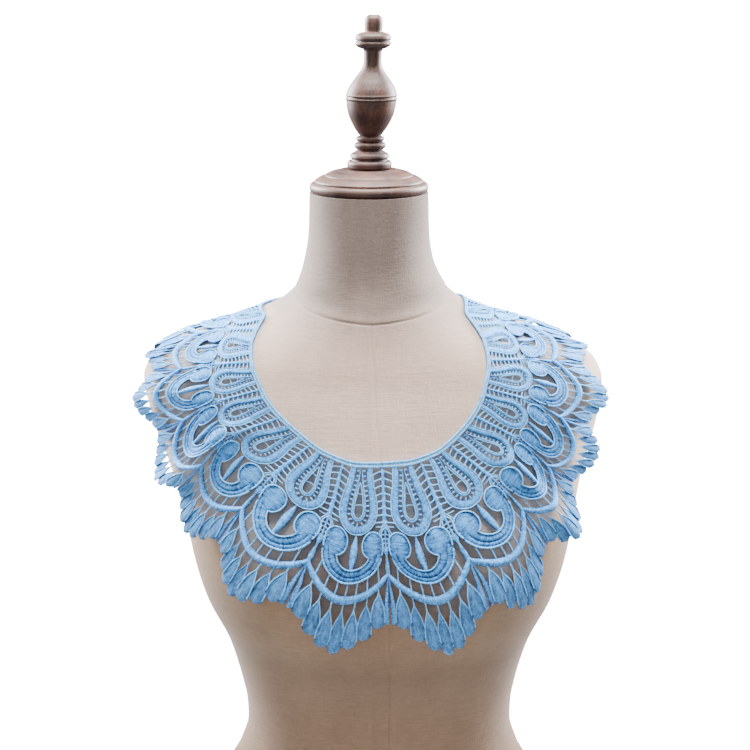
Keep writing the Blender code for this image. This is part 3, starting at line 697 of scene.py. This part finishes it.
def line_object(name, lines):
    """Object of open or closed lines with named values at each point.

    A line is a table of points: across, depth, half width, thickness, base height and tone. Its
    last point equals its first where it is closed.
    """
    points = []
    edges = []
    for line in lines:
        closed = tuple(line[0][:2]) == tuple(line[-1][:2]) and len(line) > 2
        rows = line[:-1] if closed else line
        first = len(points)
        points += rows
        edges += [(first + i, first + i + 1) for i in range(len(rows) - 1)]
        if closed:
            edges.append((first + len(rows) - 1, first))
    values = np.array(points, float)
    obj = mesh_object(name, [(x, y, 0) for x, y in values[:, :2]], [], edges=edges)
    for column, value_name in enumerate(("half_width", "thickness", "base", "tone"), 2):
        give_values(obj, value_name, "FLOAT", values[:, column].astype(np.float32))
    return obj


section_objects = {}
for section_name, corners in SECTIONS.items():
    round_it = [(i, (i + 1) % len(corners)) for i in range(len(corners))]
    section_objects[section_name] = mesh_object(
        section_name, [(*corner, 0) for corner in corners], [], edges=round_it)

lace_work = bpy.data.node_groups.new("lace_work", "GeometryNodeTree")
for socket_name, socket_kind in (
        ("Geometry", "Geometry"), ("Drape", "Object"), ("Cross Section", "Object"), ("Repeats", "Int"),
        ("First Turn", "Float"), ("Stitch Step", "Float"), ("Material", "Material")):
    lace_work.interface.new_socket(socket_name, in_out="INPUT", socket_type="NodeSocket" + socket_kind)
lace_work.interface.new_socket("Geometry", in_out="OUTPUT", socket_type="NodeSocketGeometry")
given = add_node(lace_work, "NodeGroupInput").outputs
named = {
    name: add_node(lace_work, "GeometryNodeInputNamedAttribute", {"Name": name}, data_type=kind)
    for name, kind in (
        ("half_width", "FLOAT"), ("thickness", "FLOAT"), ("base", "FLOAT"), ("turn", "FLOAT"),
        ("section", "FLOAT_VECTOR"), ("outward", "FLOAT_VECTOR"), ("pattern_place", "FLOAT_VECTOR"))
}

here = add_node(lace_work, "GeometryNodeInputPosition")
turn_place = add_node(lace_work, "ShaderNodeCombineXYZ", {"Z": named["turn"]})
uneven_place = add_node(lace_work, "ShaderNodeVectorMath", (
    turn_place, (0, 0, REPEATS_APART), here), operation="MULTIPLY_ADD")
uneven = add_node(lace_work, "ShaderNodeTexNoise", {
    "Vector": uneven_place, "Scale": 1 / UNEVEN_LENGTH, "Detail": 1.0})
sums = {
    "number": add_node(lace_work, "GeometryNodeInputIndex"), "first turn": given["First Turn"],
    "turn": named["turn"], "thickness": named["thickness"], "base": named["base"]}
for vector, part_names in (
        (here, ("flat x", "flat y", "flat z")),
        (named["section"], ("section x", "section y", "section z")),
        (uneven.outputs["Color"], ("noise x", "noise y", "noise z"))):
    sums.update(zip(part_names, add_node(lace_work, "ShaderNodeSeparateXYZ", (vector,)).outputs))
for result, operation, first, second in (
        # Height of a tape's skin over the net, and which repeat each copy is.
        ("thick", "MULTIPLY", "section y", "thickness"), ("level", "ADD", "base", "thick"),
        ("own turn", "ADD", "number", "first turn"),
        # Place in the flat repeat, made uneven.
        ("off x", "SUBTRACT", "noise x", 0.5), ("uneven x", "MULTIPLY", "off x", UNEVENNESS),
        ("across", "ADD", "flat x", "uneven x"),
        ("off y", "SUBTRACT", "noise y", 0.5), ("uneven y", "MULTIPLY", "off y", UNEVENNESS),
        ("depth", "ADD", "flat y", "uneven y"),
        # Place on the net, from 0 to 1 round it and down it.
        ("radius", "ADD", "depth", FLAT_NECK_RADIUS),
        ("pitch", "MULTIPLY", "radius", 2 * math.pi / REPEATS),
        ("in pitch", "DIVIDE", "across", "pitch"), ("whole turn", "ADD", "turn", "in pitch"),
        ("from start", "ADD", "whole turn", NET_TURNS), ("net u", "DIVIDE", "from start", 2 * NET_TURNS),
        ("from top", "SUBTRACT", "depth", NET_LOW), ("net v", "DIVIDE", "from top", NET_HIGH - NET_LOW),
        # Height over the net in metres, with the hem's flutter.
        ("off z", "SUBTRACT", "noise z", FLUTTER_FROM), ("flutter", "MULTIPLY", "off z", HEM_FLUTTER),
        ("depth share", "DIVIDE", "depth", LACE_DEPTH), ("below neck", "MAXIMUM", "depth share", 0.0),
        ("near hem", "POWER", "below neck", 4.0), ("hem flutter", "MULTIPLY", "flutter", "near hem"),
        ("hem lift", "MAXIMUM", "hem flutter", 0.0), ("lifted", "ADD", "flat z", "hem lift"),
        ("metres up", "MULTIPLY", "lifted", MM)):
    operands = (sums.get(first, first), sums.get(second, second))
    sums[result] = add_node(lace_work, "ShaderNodeMath", operands, operation=operation)

lines = add_node(lace_work, "GeometryNodeMeshToCurve", (given["Geometry"],))
lines = add_node(lace_work, "GeometryNodeCurveSplineType", {"Curve": lines}, spline_type="CATMULL_ROM")
lines = add_node(lace_work, "GeometryNodeResampleCurve", {
    "Curve": lines, "Length": given["Stitch Step"]}, mode="LENGTH")
lines = add_node(lace_work, "GeometryNodeSetCurveNormal", {"Curve": lines}, mode="Z_UP")
run = add_node(lace_work, "GeometryNodeSplineParameter").outputs["Length"]
lines = add_node(lace_work, "GeometryNodeStoreNamedAttribute", {
    "Geometry": lines, "Name": "along", "Value": run}, data_type="FLOAT", domain="POINT")
section_in = add_node(lace_work, "GeometryNodeObjectInfo", {"Object": given["Cross Section"]})
section = add_node(lace_work, "GeometryNodeMeshToCurve", {"Mesh": section_in.outputs["Geometry"]})
section = add_node(lace_work, "GeometryNodeStoreNamedAttribute", {
    "Geometry": section, "Name": "section", "Value": here}, data_type="FLOAT_VECTOR", domain="POINT")
ribbon = add_node(lace_work, "GeometryNodeCurveToMesh", {
    "Curve": lines, "Profile Curve": section, "Scale": named["half_width"], "Fill Caps": True})
flat_place = add_node(lace_work, "ShaderNodeCombineXYZ", (sums["flat x"], sums["flat y"], sums["level"]))
ribbon = add_node(lace_work, "GeometryNodeSetPosition", {"Geometry": ribbon, "Position": flat_place})
ring = add_node(lace_work, "GeometryNodeMeshLine", {
    "Count": given["Repeats"], "Start Location": (0, 0, 0), "Offset": (0, 0, 0)})
laid = add_node(lace_work, "GeometryNodeInstanceOnPoints", {"Points": ring, "Instance": ribbon})
laid = add_node(lace_work, "GeometryNodeStoreNamedAttribute", {
    "Geometry": laid, "Name": "turn", "Value": sums["own turn"]}, data_type="FLOAT", domain="INSTANCE")
laid = add_node(lace_work, "GeometryNodeRealizeInstances", {"Geometry": laid})
net_place = add_node(lace_work, "ShaderNodeCombineXYZ", (sums["net u"], sums["net v"], 0.0))
drape_in = add_node(lace_work, "GeometryNodeObjectInfo", {"Object": given["Drape"]})
skin, outward = [
    add_node(lace_work, "GeometryNodeSampleUVSurface", {
        "Mesh": drape_in.outputs["Geometry"], "Value": value, "Source UV Map": named["pattern_place"],
        "Sample UV": net_place}, data_type="FLOAT_VECTOR")
    for value in (here, named["outward"])]
off_skin = add_node(lace_work, "ShaderNodeVectorMath", {
    0: outward, "Scale": sums["metres up"]}, operation="SCALE")
final_place = add_node(lace_work, "ShaderNodeVectorMath", (skin, off_skin), operation="ADD")
laid = add_node(lace_work, "GeometryNodeSetPosition", {"Geometry": laid, "Position": final_place})
laid = add_node(lace_work, "GeometryNodeSetShadeSmooth", {"Geometry": laid})
laid = add_node(lace_work, "GeometryNodeSetMaterial", {"Geometry": laid, "Material": given["Material"]})
add_node(lace_work, "NodeGroupOutput", (laid,))


def work_lace(name, lines, section_name, material, step, first_turn=0.5 - REPEATS / 2, repeats=REPEATS):
    """Works lines of the flat repeat round the ring and returns a plain mesh object."""
    host = line_object(name + "_lines", lines)
    modifier = host.modifiers.new("lace_work", "NODES")
    modifier.node_group = lace_work
    given_values = {
        "Drape": drape_net, "Cross Section": section_objects[section_name], "Repeats": repeats,
        "First Turn": first_turn, "Stitch Step": step, "Material": material}
    for item in lace_work.interface.items_tree:
        if item.in_out == "INPUT" and item.name in given_values:
            modifier[item.identifier] = given_values[item.name]
    evaluated = host.evaluated_get(bpy.context.evaluated_depsgraph_get())
    mesh = bpy.data.meshes.new_from_object(evaluated)
    mesh.name = name
    host.modifiers.remove(modifier)
    bpy.data.objects.remove(host)
    obj = bpy.data.objects.new(name, mesh)
    bpy.context.scene.collection.objects.link(obj)
    return obj


def joined(name, objects):
    """Joins objects into the first and names it."""
    with bpy.context.temp_override(
            active_object=objects[0], selected_editable_objects=objects, object=objects[0]):
        bpy.ops.object.join()
    objects[0].name = name
    objects[0].data.name = name
    return objects[0]


def mirrored(line):
    """The line's mirror image in the repeat's centre line."""
    return [(-row[0], *row[1:]) for row in line]


def both_sides(line):
    """A line that starts at the left and ends on the centre line, carried on by its mirror image."""
    return [*line, *mirrored(line[-2::-1])]


# Light blue cotton in satin stitch: soft and matt with a slight sheen, ribbed across each tape by
# its stitches. Real stitches are 0.3 mm apart and are drawn 0.9 mm apart here so that they show.
# The cotton's fuzz is drawn 1.6 mm across, which is coarser than real fuzz, and its patches 6 mm.
STITCH_PITCH = 0.9
STITCH_SLANT = 0.35
FUZZ_PER_METRE = 620.0
PATCHES_PER_METRE = 170.0
# Streaks per mm along a tape and per half width across it. They differ from repeat to repeat.
THREADS_ACROSS = (0.75, 0.9, 1.0)
THREADS_ALONG = (0.16, 3.2, 1.0)
STREAKS_APART = 50.0


def satin_cotton(name, light, deep, threads_run):
    """Cotton embroidery between its lightest and deepest blue, its threads across or along it."""
    material, tree, shader, place = node_material(name)
    along, section, toning = [
        add_node(tree, "ShaderNodeAttribute", attribute_name=value_name).outputs[output]
        for value_name, output in (("along", "Fac"), ("section", "Vector"), ("tone", "Fac"))]
    across, height = add_node(tree, "ShaderNodeSeparateXYZ", (section,)).outputs[:2]
    place_parts = add_node(tree, "ShaderNodeSeparateXYZ", (place,)).outputs
    fuzz = add_node(tree, "ShaderNodeTexNoise", {
        "Vector": place, "Scale": FUZZ_PER_METRE, "Detail": 3.0, "Roughness": 0.6})
    patches = add_node(tree, "ShaderNodeTexNoise", {
        "Vector": place, "Scale": PATCHES_PER_METRE, "Detail": 2.0})
    far_apart = add_node(tree, "ShaderNodeMath", (place_parts[0], STREAKS_APART), operation="MULTIPLY")
    thread_place = add_node(tree, "ShaderNodeCombineXYZ", (along, across, far_apart))
    thread_stretch = add_node(tree, "ShaderNodeMapping", {"Vector": thread_place, "Scale": threads_run})
    threads = add_node(tree, "ShaderNodeTexNoise", {
        "Vector": thread_stretch, "Scale": 1.0, "Detail": 2.0})
    slant = add_node(tree, "ShaderNodeMath", (across, STITCH_SLANT, along), operation="MULTIPLY_ADD")
    wander = add_node(tree, "ShaderNodeMath", (fuzz, slant), operation="ADD")
    turns = add_node(tree, "ShaderNodeMath", (wander, 2 * math.pi / STITCH_PITCH), operation="MULTIPLY")
    wave = add_node(tree, "ShaderNodeMath", (turns,), operation="SINE")
    # A tape is painted darker low in its section, at its sides and in its grooves, as shade. The thread
    # is drawn paler high on the shoulders than low on the breast.
    stitches, rise, fuzzed, streaks, height_tone = [
        add_node(tree, "ShaderNodeMapRange", value_range) for value_range in (
            (wave, -1.0, 1.0), (height, 0.0, 1.0, -0.45, 0.30), (fuzz, 0.36, 0.64), (threads, 0.34, 0.66),
            (place_parts[2], 0.38, 0.48, -0.78, -0.60))]
    shade = toning
    for value, share in (
            (stitches, 0.28), (rise, 1.0), (fuzzed, 0.3), (streaks, 0.42), (patches, 0.5), (height_tone, 1.0)):
        shade = add_node(tree, "ShaderNodeMath", (value, share, shade), operation="MULTIPLY_ADD")
    shade.use_clamp = True
    colour = add_node(tree, "ShaderNodeMix", {
        0: shade, 6: linear(deep), 7: linear(light)}, data_type="RGBA")
    stitch_relief = add_node(tree, "ShaderNodeBump", {
        "Height": stitches, "Strength": 1.0, "Distance": 0.25 * MM})
    fuzz_relief = add_node(tree, "ShaderNodeBump", {
        "Height": fuzz, "Normal": stitch_relief, "Strength": 0.5, "Distance": 0.3 * MM})
    set_inputs(shader, {
        "Base Color": colour, "Normal": fuzz_relief, "Roughness": 0.8, "Specular IOR Level": 0.15,
        "Sheen Weight": 0.08, "Sheen Roughness": 0.5, "Sheen Tint": linear("#9cc8ff")})
    return material


satin_blue = satin_cotton("light_blue_satin_cotton", "#58aeff", "#0e2656", THREADS_ACROSS)
petal_blue = satin_cotton("light_blue_petal_cotton", "#5498da", "#14284e", THREADS_ALONG)
cord_blue = satin_cotton("light_blue_cotton_cord", "#78c8ff", "#0a4cac", THREADS_ACROSS)


# ---- Lace: satin tapes ----------------------------------------------------------------------
# The padded tapes that make the pattern: a teardrop, a horseshoe whose ends curl into eggs, a leaf
# inside it, a crescent under it, and seven petals that hang from the crescent.

TAPE = 1.7
TAPE_STEP = 1.9
TEARDROP = (
    # across, depth, half width, tone
    (-6.5, 4.4, 2.4, 0.34), (-6.8, 8.0, 2.4, 0.34), (-8.9, 20.0, 2.8, 0.33), (-11.6, 30.0, 3.1, 0.31),
    (-13.1, 40.0, 3.3, 0.30), (-12.5, 47.6, 3.4, 0.30), (-8.8, 53.5, 3.6, 0.30),
    (-3.9, 56.3, 3.6, 0.30), (0, 56.8, 3.6, 0.30),
)
INNER_STRIP = (
    (-0.85, 6.5, 0.5, 0.5), (-1.1, 11.0, 0.6, 0.5), (-2.5, 19.0, 0.8, 0.5), (-4.3, 28.5, 0.95, 0.5),
    (-5.5, 38.0, 1.05, 0.5), (-5.3, 43.4, 1.05, 0.5), (-3.6, 47.2, 1.05, 0.5), (0, 48.8, 1.05, 0.5),
)
EGG = (
    (-15.6, 57.6, 1.2, 0.26), (-15.5, 58.4, 3.9, 0.26), (-15.4, 60.2, 6.5, 0.24),
    (-15.3, 63.2, 8.5, 0.22), (-15.3, 67.0, 9.2, 0.21), (-15.4, 70.8, 8.9, 0.20),
    (-15.6, 74.2, 7.5, 0.19), (-15.9, 76.8, 5.2, 0.18), (-16.1, 78.2, 2.4, 0.18),
)
LEAF = (
    (0.3, 60.2, 0.4, 0.5), (0.2, 63.0, 1.2, 0.5), (0, 68.0, 2.5, 0.48), (-0.1, 74.0, 3.2, 0.46),
    (0, 80.0, 3.0, 0.44), (0.1, 85.0, 2.3, 0.44), (0.2, 88.8, 1.7, 0.44),
)
CRESCENT = (
    # across, depth, half width, thickness, base height, tone
    (-30.3, 91.0, 1.3, 2.4, 0, 0.46), (-29.0, 93.8, 1.9, 2.6, 0, 0.46), (-26.6, 97.3, 2.4, 2.8, 0, 0.46),
    (-22.8, 101.8, 2.8, 2.8, 0, 0.45), (-18.0, 106.2, 3.05, 2.8, 0, 0.44),
    (-12.4, 109.9, 3.25, 2.8, 0, 0.44), (-6.4, 112.3, 3.35, 2.8, 0, 0.44), (0, 113.1, 3.4, 2.8, 0, 0.44),
)
SCROLL_CENTRE = 75.4
SCROLL_MIDDLE_RADIUS = 18.6
SCROLL_HALF_WIDTH = 5.6
SCROLL_HALF_DEGREES = 96
SCROLL_TONE = 0.19
PETAL_NUMBERS = range(-3, 4)
PETALS_PER_PITCH = 8
PETAL_FORKS = (122.5, 121.5, 117.0, 107.5)
PETAL_TIPS = (158.0, 153.5, 146.0, 135.0)
PETAL_SHAPE = (
    # share of the length, share of the half width
    (0.0, 0.05), (0.07, 0.2), (0.18, 0.46), (0.32, 0.72), (0.48, 0.9), (0.65, 1.0), (0.8, 1.0),
    (0.9, 0.9), (0.96, 0.7), (0.99, 0.45), (1.0, 0.2),
)
PETAL_HALF_WIDTH = 5.5
PETAL_THICKNESS = 1.1
# Every other petal lies over its neighbours.
PETAL_LIFT = 0.9


def shaped(rows, thickness, base=0):
    """Gives rows of across, depth, half width and tone their thickness and base height."""
    return [(x, y, half_width, thickness, base, tone) for x, y, half_width, tone in rows]


def circle_line(centre_depth, radius, from_degrees, to_degrees, steps):
    """Bare line on a circle about the centre line, degrees counted from straight down."""
    angles = np.radians(np.linspace(from_degrees, to_degrees, steps))
    return [(radius * math.sin(a), centre_depth + radius * math.cos(a)) for a in angles]


def petal_place(number, length_share, aside=0):
    """Across and depth of a place down a petal's middle or aside from it."""
    fork = PETAL_FORKS[abs(number)]
    down = fork + (PETAL_TIPS[abs(number)] - fork) * length_share
    return number * pitch_at(down) / PETALS_PER_PITCH + aside, down


scroll_line = circle_line(SCROLL_CENTRE, SCROLL_MIDDLE_RADIUS, -SCROLL_HALF_DEGREES, 0, 11)
scroll = shaped([(x, y, SCROLL_HALF_WIDTH, SCROLL_TONE) for x, y in scroll_line], TAPE)
egg = shaped(EGG, 1.75, 0.1)
inner_tapes = [
    both_sides(shaped(INNER_STRIP, 1.6)), shaped(LEAF, 1.8), egg, mirrored(egg), both_sides(CRESCENT)]
petals = [[
    (*petal_place(number, length_share), PETAL_HALF_WIDTH * width_share, PETAL_THICKNESS,
     PETAL_LIFT * (number % 2), 0.41 + 0.06 * (number % 2) - 0.08 * length_share)
    for length_share, width_share in PETAL_SHAPE] for number in PETAL_NUMBERS]

lace_tapes = joined("lace_tapes", [
    work_lace(tapes_name, tapes, section_name, cotton, TAPE_STEP)
    for tapes_name, tapes, section_name, cotton in (
        ("teardrop_tapes", [both_sides(shaped(TEARDROP, TAPE))], "edged_tape", satin_blue),
        ("scroll_tapes", [both_sides(scroll)], "grooved_tape", satin_blue),
        ("inner_tapes", inner_tapes, "domed_tape", satin_blue),
        ("petals", petals, "domed_tape", petal_blue))])
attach(lace_tapes, "root")
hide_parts("lace_right", "lace_left")


# ---- Lace: cords ----------------------------------------------------------------------------
# Round cords edge the tapes and draw the petals' pointed tops. They stand a little over the tapes
# and are lighter, because they catch the light.

TEARDROP_EDGE = (
    # across, depth
    (-8.8, 4.6), (-9.1, 8), (-11.6, 20), (-14.6, 30), (-16.3, 40), (-15.8, 47), (-12.4, 54.2),
    (-6.0, 59.0), (0, 59.9),
)
RING_CORD = (
    (0, 17.2), (-1.6, 23.0), (-3.1, 31), (-4.1, 38), (-4.0, 42.6), (-2.5, 45.8), (0, 46.9),
)
EGG_EDGE = (
    (-12.6, 78.0), (-9.6, 76.2), (-7.2, 72.6), (-6.3, 68), (-6.9, 63.4), (-9.2, 59.6), (-12.6, 57.4),
    (-16.2, 57.2), (-20.0, 58.9), (-22.8, 62.4), (-24.0, 66.6), (-24.2, 71.0), (-23.7, 75.4),
)
SCALLOP = 2.7
PETAL_EDGE = 0.93
PETAL_EDGE_ROWS = 7
ARC_CENTRE = 87.1
ARC_RADIUS = 29.6


def cord_line(points, radius, lift, tone=0.5):
    """Cord through bare points, its middle at the lift."""
    return [(x, y, radius, 2 * radius, lift - radius, tone) for x, y in points]


def with_run(line):
    """A line's bare points, and how far along it each one is."""
    bare = np.array([row[:2] for row in line], float)
    return bare, np.concatenate([[0], np.cumsum(np.linalg.norm(np.diff(bare, axis=0), axis=1))])


def place_at(at, bare, run):
    """Place on a line at a distance along it."""
    return np.array([np.interp(at, run, bare[:, k]) for k in range(2)])


def scalloped(line):
    """A cord sampled finely, its radius waving as its overcast stitches draw it in."""
    bare, run = with_run(line)
    half_width, thickness, *others = line[0][2:]
    rows = []
    for at in np.arange(0, run[-1], SCALLOP / 3):
        wave = 0.5 + 0.5 * math.cos(2 * math.pi * at / SCALLOP)
        rows.append((
            *place_at(at, bare, run), half_width * (0.8 + 0.45 * wave), thickness * (0.8 + 0.4 * wave),
            *others))
    return rows


outer_scroll = circle_line(SCROLL_CENTRE, 23.7, -84, 84, 29)
inner_scroll = circle_line(SCROLL_CENTRE, 13.4, -80, 0, 9)
cords = [
    cord_line(both_sides(TEARDROP_EDGE), 0.5, 1.2, 0.45),
    cord_line(EGG_EDGE, 0.65, 1.7),
    cord_line(mirrored(EGG_EDGE), 0.65, 1.7),
    cord_line(both_sides(inner_scroll), 0.65, 1.5),
    cord_line(both_sides(RING_CORD), 0.55, 1.2, 0.6),
]
smooth_cords = work_lace("smooth_cords", cords, "round_cord", cord_blue, 1.8)
scallops = work_lace(
    "scalloped_cords", [scalloped(cord_line(outer_scroll, 0.8, 1.5, 0.45))], "round_cord", cord_blue,
    SCALLOP / 3)
lace_cords = joined("lace_cords", [smooth_cords, scallops])
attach(lace_cords, "root")
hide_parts("lace_right", "lace_left")

petal_cords = []
for number in PETAL_NUMBERS:
    fork = PETAL_FORKS[abs(number)]
    lift = PETAL_LIFT * (number % 2)
    stem_across = number * pitch_at(fork - 6) / PETALS_PER_PITCH
    stem_top = ARC_CENTRE + math.sqrt(ARC_RADIUS**2 - stem_across**2) - 1.2
    stem_foot = (petal_place(number, 0)[0], fork + 0.6)
    petal_cords.append(cord_line([(stem_across, stem_top), stem_foot], 0.6, 0.9 + lift))
    for side in (-PETAL_EDGE, PETAL_EDGE):
        edge = [
            petal_place(number, length_share, side * PETAL_HALF_WIDTH * width_share)
            for length_share, width_share in PETAL_SHAPE[:PETAL_EDGE_ROWS]]
        petal_cords.append(cord_line(edge, 0.5, 1.0 + lift))
lace_petal_cords = work_lace("lace_petal_cords", petal_cords, "round_cord", cord_blue, 2.2)
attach(lace_petal_cords, "root")
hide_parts("lace_right", "lace_left")


# ---- Lace: bars, bridges and ladders --------------------------------------------------------
# Thin corded bars hold the tapes together: bridges between the eyelets, bars under the horseshoe,
# and between the teardrops a ladder on a beaded stem.

BARS = range(-3, 4)
BAR_ENDS = (
    # centre's depth and radius of the circle that an end lies on, and how far apart the ends are
    (SCROLL_CENTRE, 23.8, 7.2), (81.0, 29.2, 7.9),
)
TEARDROP_BRIDGES = (
    ((-2.3, 25.2), (0, 26.4), (2.0, 26.6)), ((-3.9, 36.4), (0, 35.2), (3.9, 36.0)),
)
EYELET_LINE = (
    (-2.2, 7.6), (-2.6, 11), (-4.5, 20), (-6.6, 30), (-8.0, 38), (-7.9, 43.6), (-6.3, 48.6),
    (-3.4, 51.4), (0, 52.1),
)
EYELET_PITCH = 4.1
EYELET_HALF_BRIDGE = 1.2
LADDER_RUNGS = 8
RUNG_FIRST_DEPTH = 8.0
RUNG_PITCH = 5.85
TEARDROP_OUTER = (
    # depth, half width of the teardrop there
    (5, 8.8), (8, 9.1), (20, 11.6), (30, 14.6), (42, 16.3), (50, 14.6), (56, 10), (60, 0),
)
STEM_TOP = 5
STEM_POINTS = 25
STEM_STEP = 2.05
SIDE_CORDS = (
    # radius, lift, bare points to one side of the stem: two props of the teardrops, a side stem
    (0.5, 0.9, ((1.2, 50.5), (5.4, 58.2))), (0.5, 0.9, ((1.0, 52.5), (8.0, 53.0))),
    (0.6, 1.0, ((1.2, 54.0), (3.4, 57.5), (3.3, 64), (2.6, 71.5))),
)
LOW_RUNGS = 4
LOW_RUNG_FIRST_DEPTH = 58.6
LOW_RUNG_PITCH = 3.5
STEM_LOW = (
    # depth, half width, thickness
    (54, 1.2, 1.6), (60, 0.9, 1.6), (68, 0.9, 1.6), (71, 2.3, 1.8), (73.5, 2.3, 1.8), (76.5, 0.8, 1.5),
    (83, 1.6, 1.6), (90, 1.8, 1.6), (97.5, 0.9, 1.5),
)
STEM_FORK = (
    # across, depth, half width, thickness, base height, tone
    (0.5, 95, 0.5, 1.1, 0, 0.4), (1.2, 103, 0.9, 1.1, 0, 0.4), (2.2, 113, 1.5, 1.1, 0, 0.36),
    (2.6, 122, 2.0, 1.1, 0, 0.34), (2.4, 129, 1.9, 1.1, 0, 0.32), (2.2, 132, 1.2, 1.0, 0, 0.32),
)

bars = []
for number in BARS:
    ends = [(number * apart, centre + math.sqrt(radius**2 - (number * apart) ** 2))
            for centre, radius, apart in BAR_ENDS]
    bars.append(cord_line(ends, 0.6, 0.9))
bars += [cord_line(bridge, 0.4, 0.9) for bridge in TEARDROP_BRIDGES]

eyelet_line = with_run(both_sides(EYELET_LINE))
eyelet_length = eyelet_line[1][-1]
for at in np.linspace(0, eyelet_length, int(eyelet_length / EYELET_PITCH) + 1):
    middle = place_at(at, *eyelet_line)
    along = place_at(at + 0.5, *eyelet_line) - place_at(at - 0.5, *eyelet_line)
    half_bridge = np.array([-along[1], along[0]]) / np.linalg.norm(along) * EYELET_HALF_BRIDGE
    bars.append([(*(middle + half), 0.7, 1.3, 0.1, 0.5) for half in (-half_bridge, half_bridge)])
lace_bars = work_lace("lace_bars", bars, "round_cord", cord_blue, 1.6)

stem = []
for down in STEM_TOP + STEM_STEP * np.arange(STEM_POINTS):
    bead = 0.5 + 0.5 * math.cos(2 * math.pi * (down - RUNG_FIRST_DEPTH) / RUNG_PITCH)
    stem.append((0, down, 1.0 + 0.9 * down / 55 + 0.7 * bead, 1.4 + 0.6 * bead, 0, 0.42 + 0.12 * bead))
stem_low = [(0, down, half_width, thickness, 0, 0.42) for down, half_width, thickness in STEM_LOW]
ladder_tapes = [stem, stem_low, mirrored(STEM_FORK), list(STEM_FORK)]

ladder = []
for rung in range(LADDER_RUNGS):
    down = RUNG_FIRST_DEPTH + rung * RUNG_PITCH
    slope = 2.8 - 2.0 * rung / (LADDER_RUNGS - 1)
    # A rung ends just under the teardrop's edge cord.
    far = pitch_at(down) / 2 - float(np.interp(down + slope, *zip(*TEARDROP_OUTER))) + 0.4
    ladder.append(cord_line([
        (0.6, down - 0.4), (far * 0.4, down + slope * 0.15), (far * 0.75, down + slope * 0.55),
        (far, down + slope)], 0.6, 1.0, 0.6))
ladder += [cord_line(points, radius, lift) for radius, lift, points in SIDE_CORDS]
for rung in range(LOW_RUNGS):
    down = LOW_RUNG_FIRST_DEPTH + LOW_RUNG_PITCH * rung
    ladder.append(cord_line([(0.5, down), (3.3, down + 0.6)], 0.5, 0.9))
    ladder.append(cord_line([(3.2, down + 1.2), (5.6 - 0.3 * rung, down + 1.6)], 0.5, 0.9))
ladder = [mirrored(line) for line in ladder] + ladder

lace_ladder_cords = work_lace("lace_ladder_cords", ladder, "round_cord", cord_blue, 1.6, -REPEATS / 2)
lace_ladder_tapes = work_lace(
    "lace_ladder_tapes", ladder_tapes, "domed_tape", satin_blue, 1.5, -REPEATS / 2)
lace_ladders = joined("lace_bars_and_ladders", [lace_bars, lace_ladder_cords, lace_ladder_tapes])
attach(lace_ladders, "root")
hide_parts("lace_right", "lace_left")


# ---- Neck band ------------------------------------------------------------------------------
# A narrow tape of two cords with a line between, which the teardrops and stems hang from. It runs
# all round the neck edge and is not opened anywhere.

BAND_DEPTH = 2.5
BAND_HALF_WIDTH = 2.5
BAND_THICKNESS = 2.0
BAND_TONE = 0.40
BAND_POINTS = 8 * REPEATS + 1

band_half = REPEATS / 2 * pitch_at(BAND_DEPTH)
band = [
    (x, BAND_DEPTH, BAND_HALF_WIDTH, BAND_THICKNESS, 0, BAND_TONE)
    for x in np.linspace(-band_half, band_half, BAND_POINTS)]
neck_band = work_lace("neck_band", [band], "corded_band", cord_blue, 2.0, first_turn=0, repeats=1)
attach(neck_band, "root")
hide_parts("neck_band_right", "neck_band_left")

for helper in [drape_net, *section_objects.values()]:
    bpy.data.objects.remove(helper)
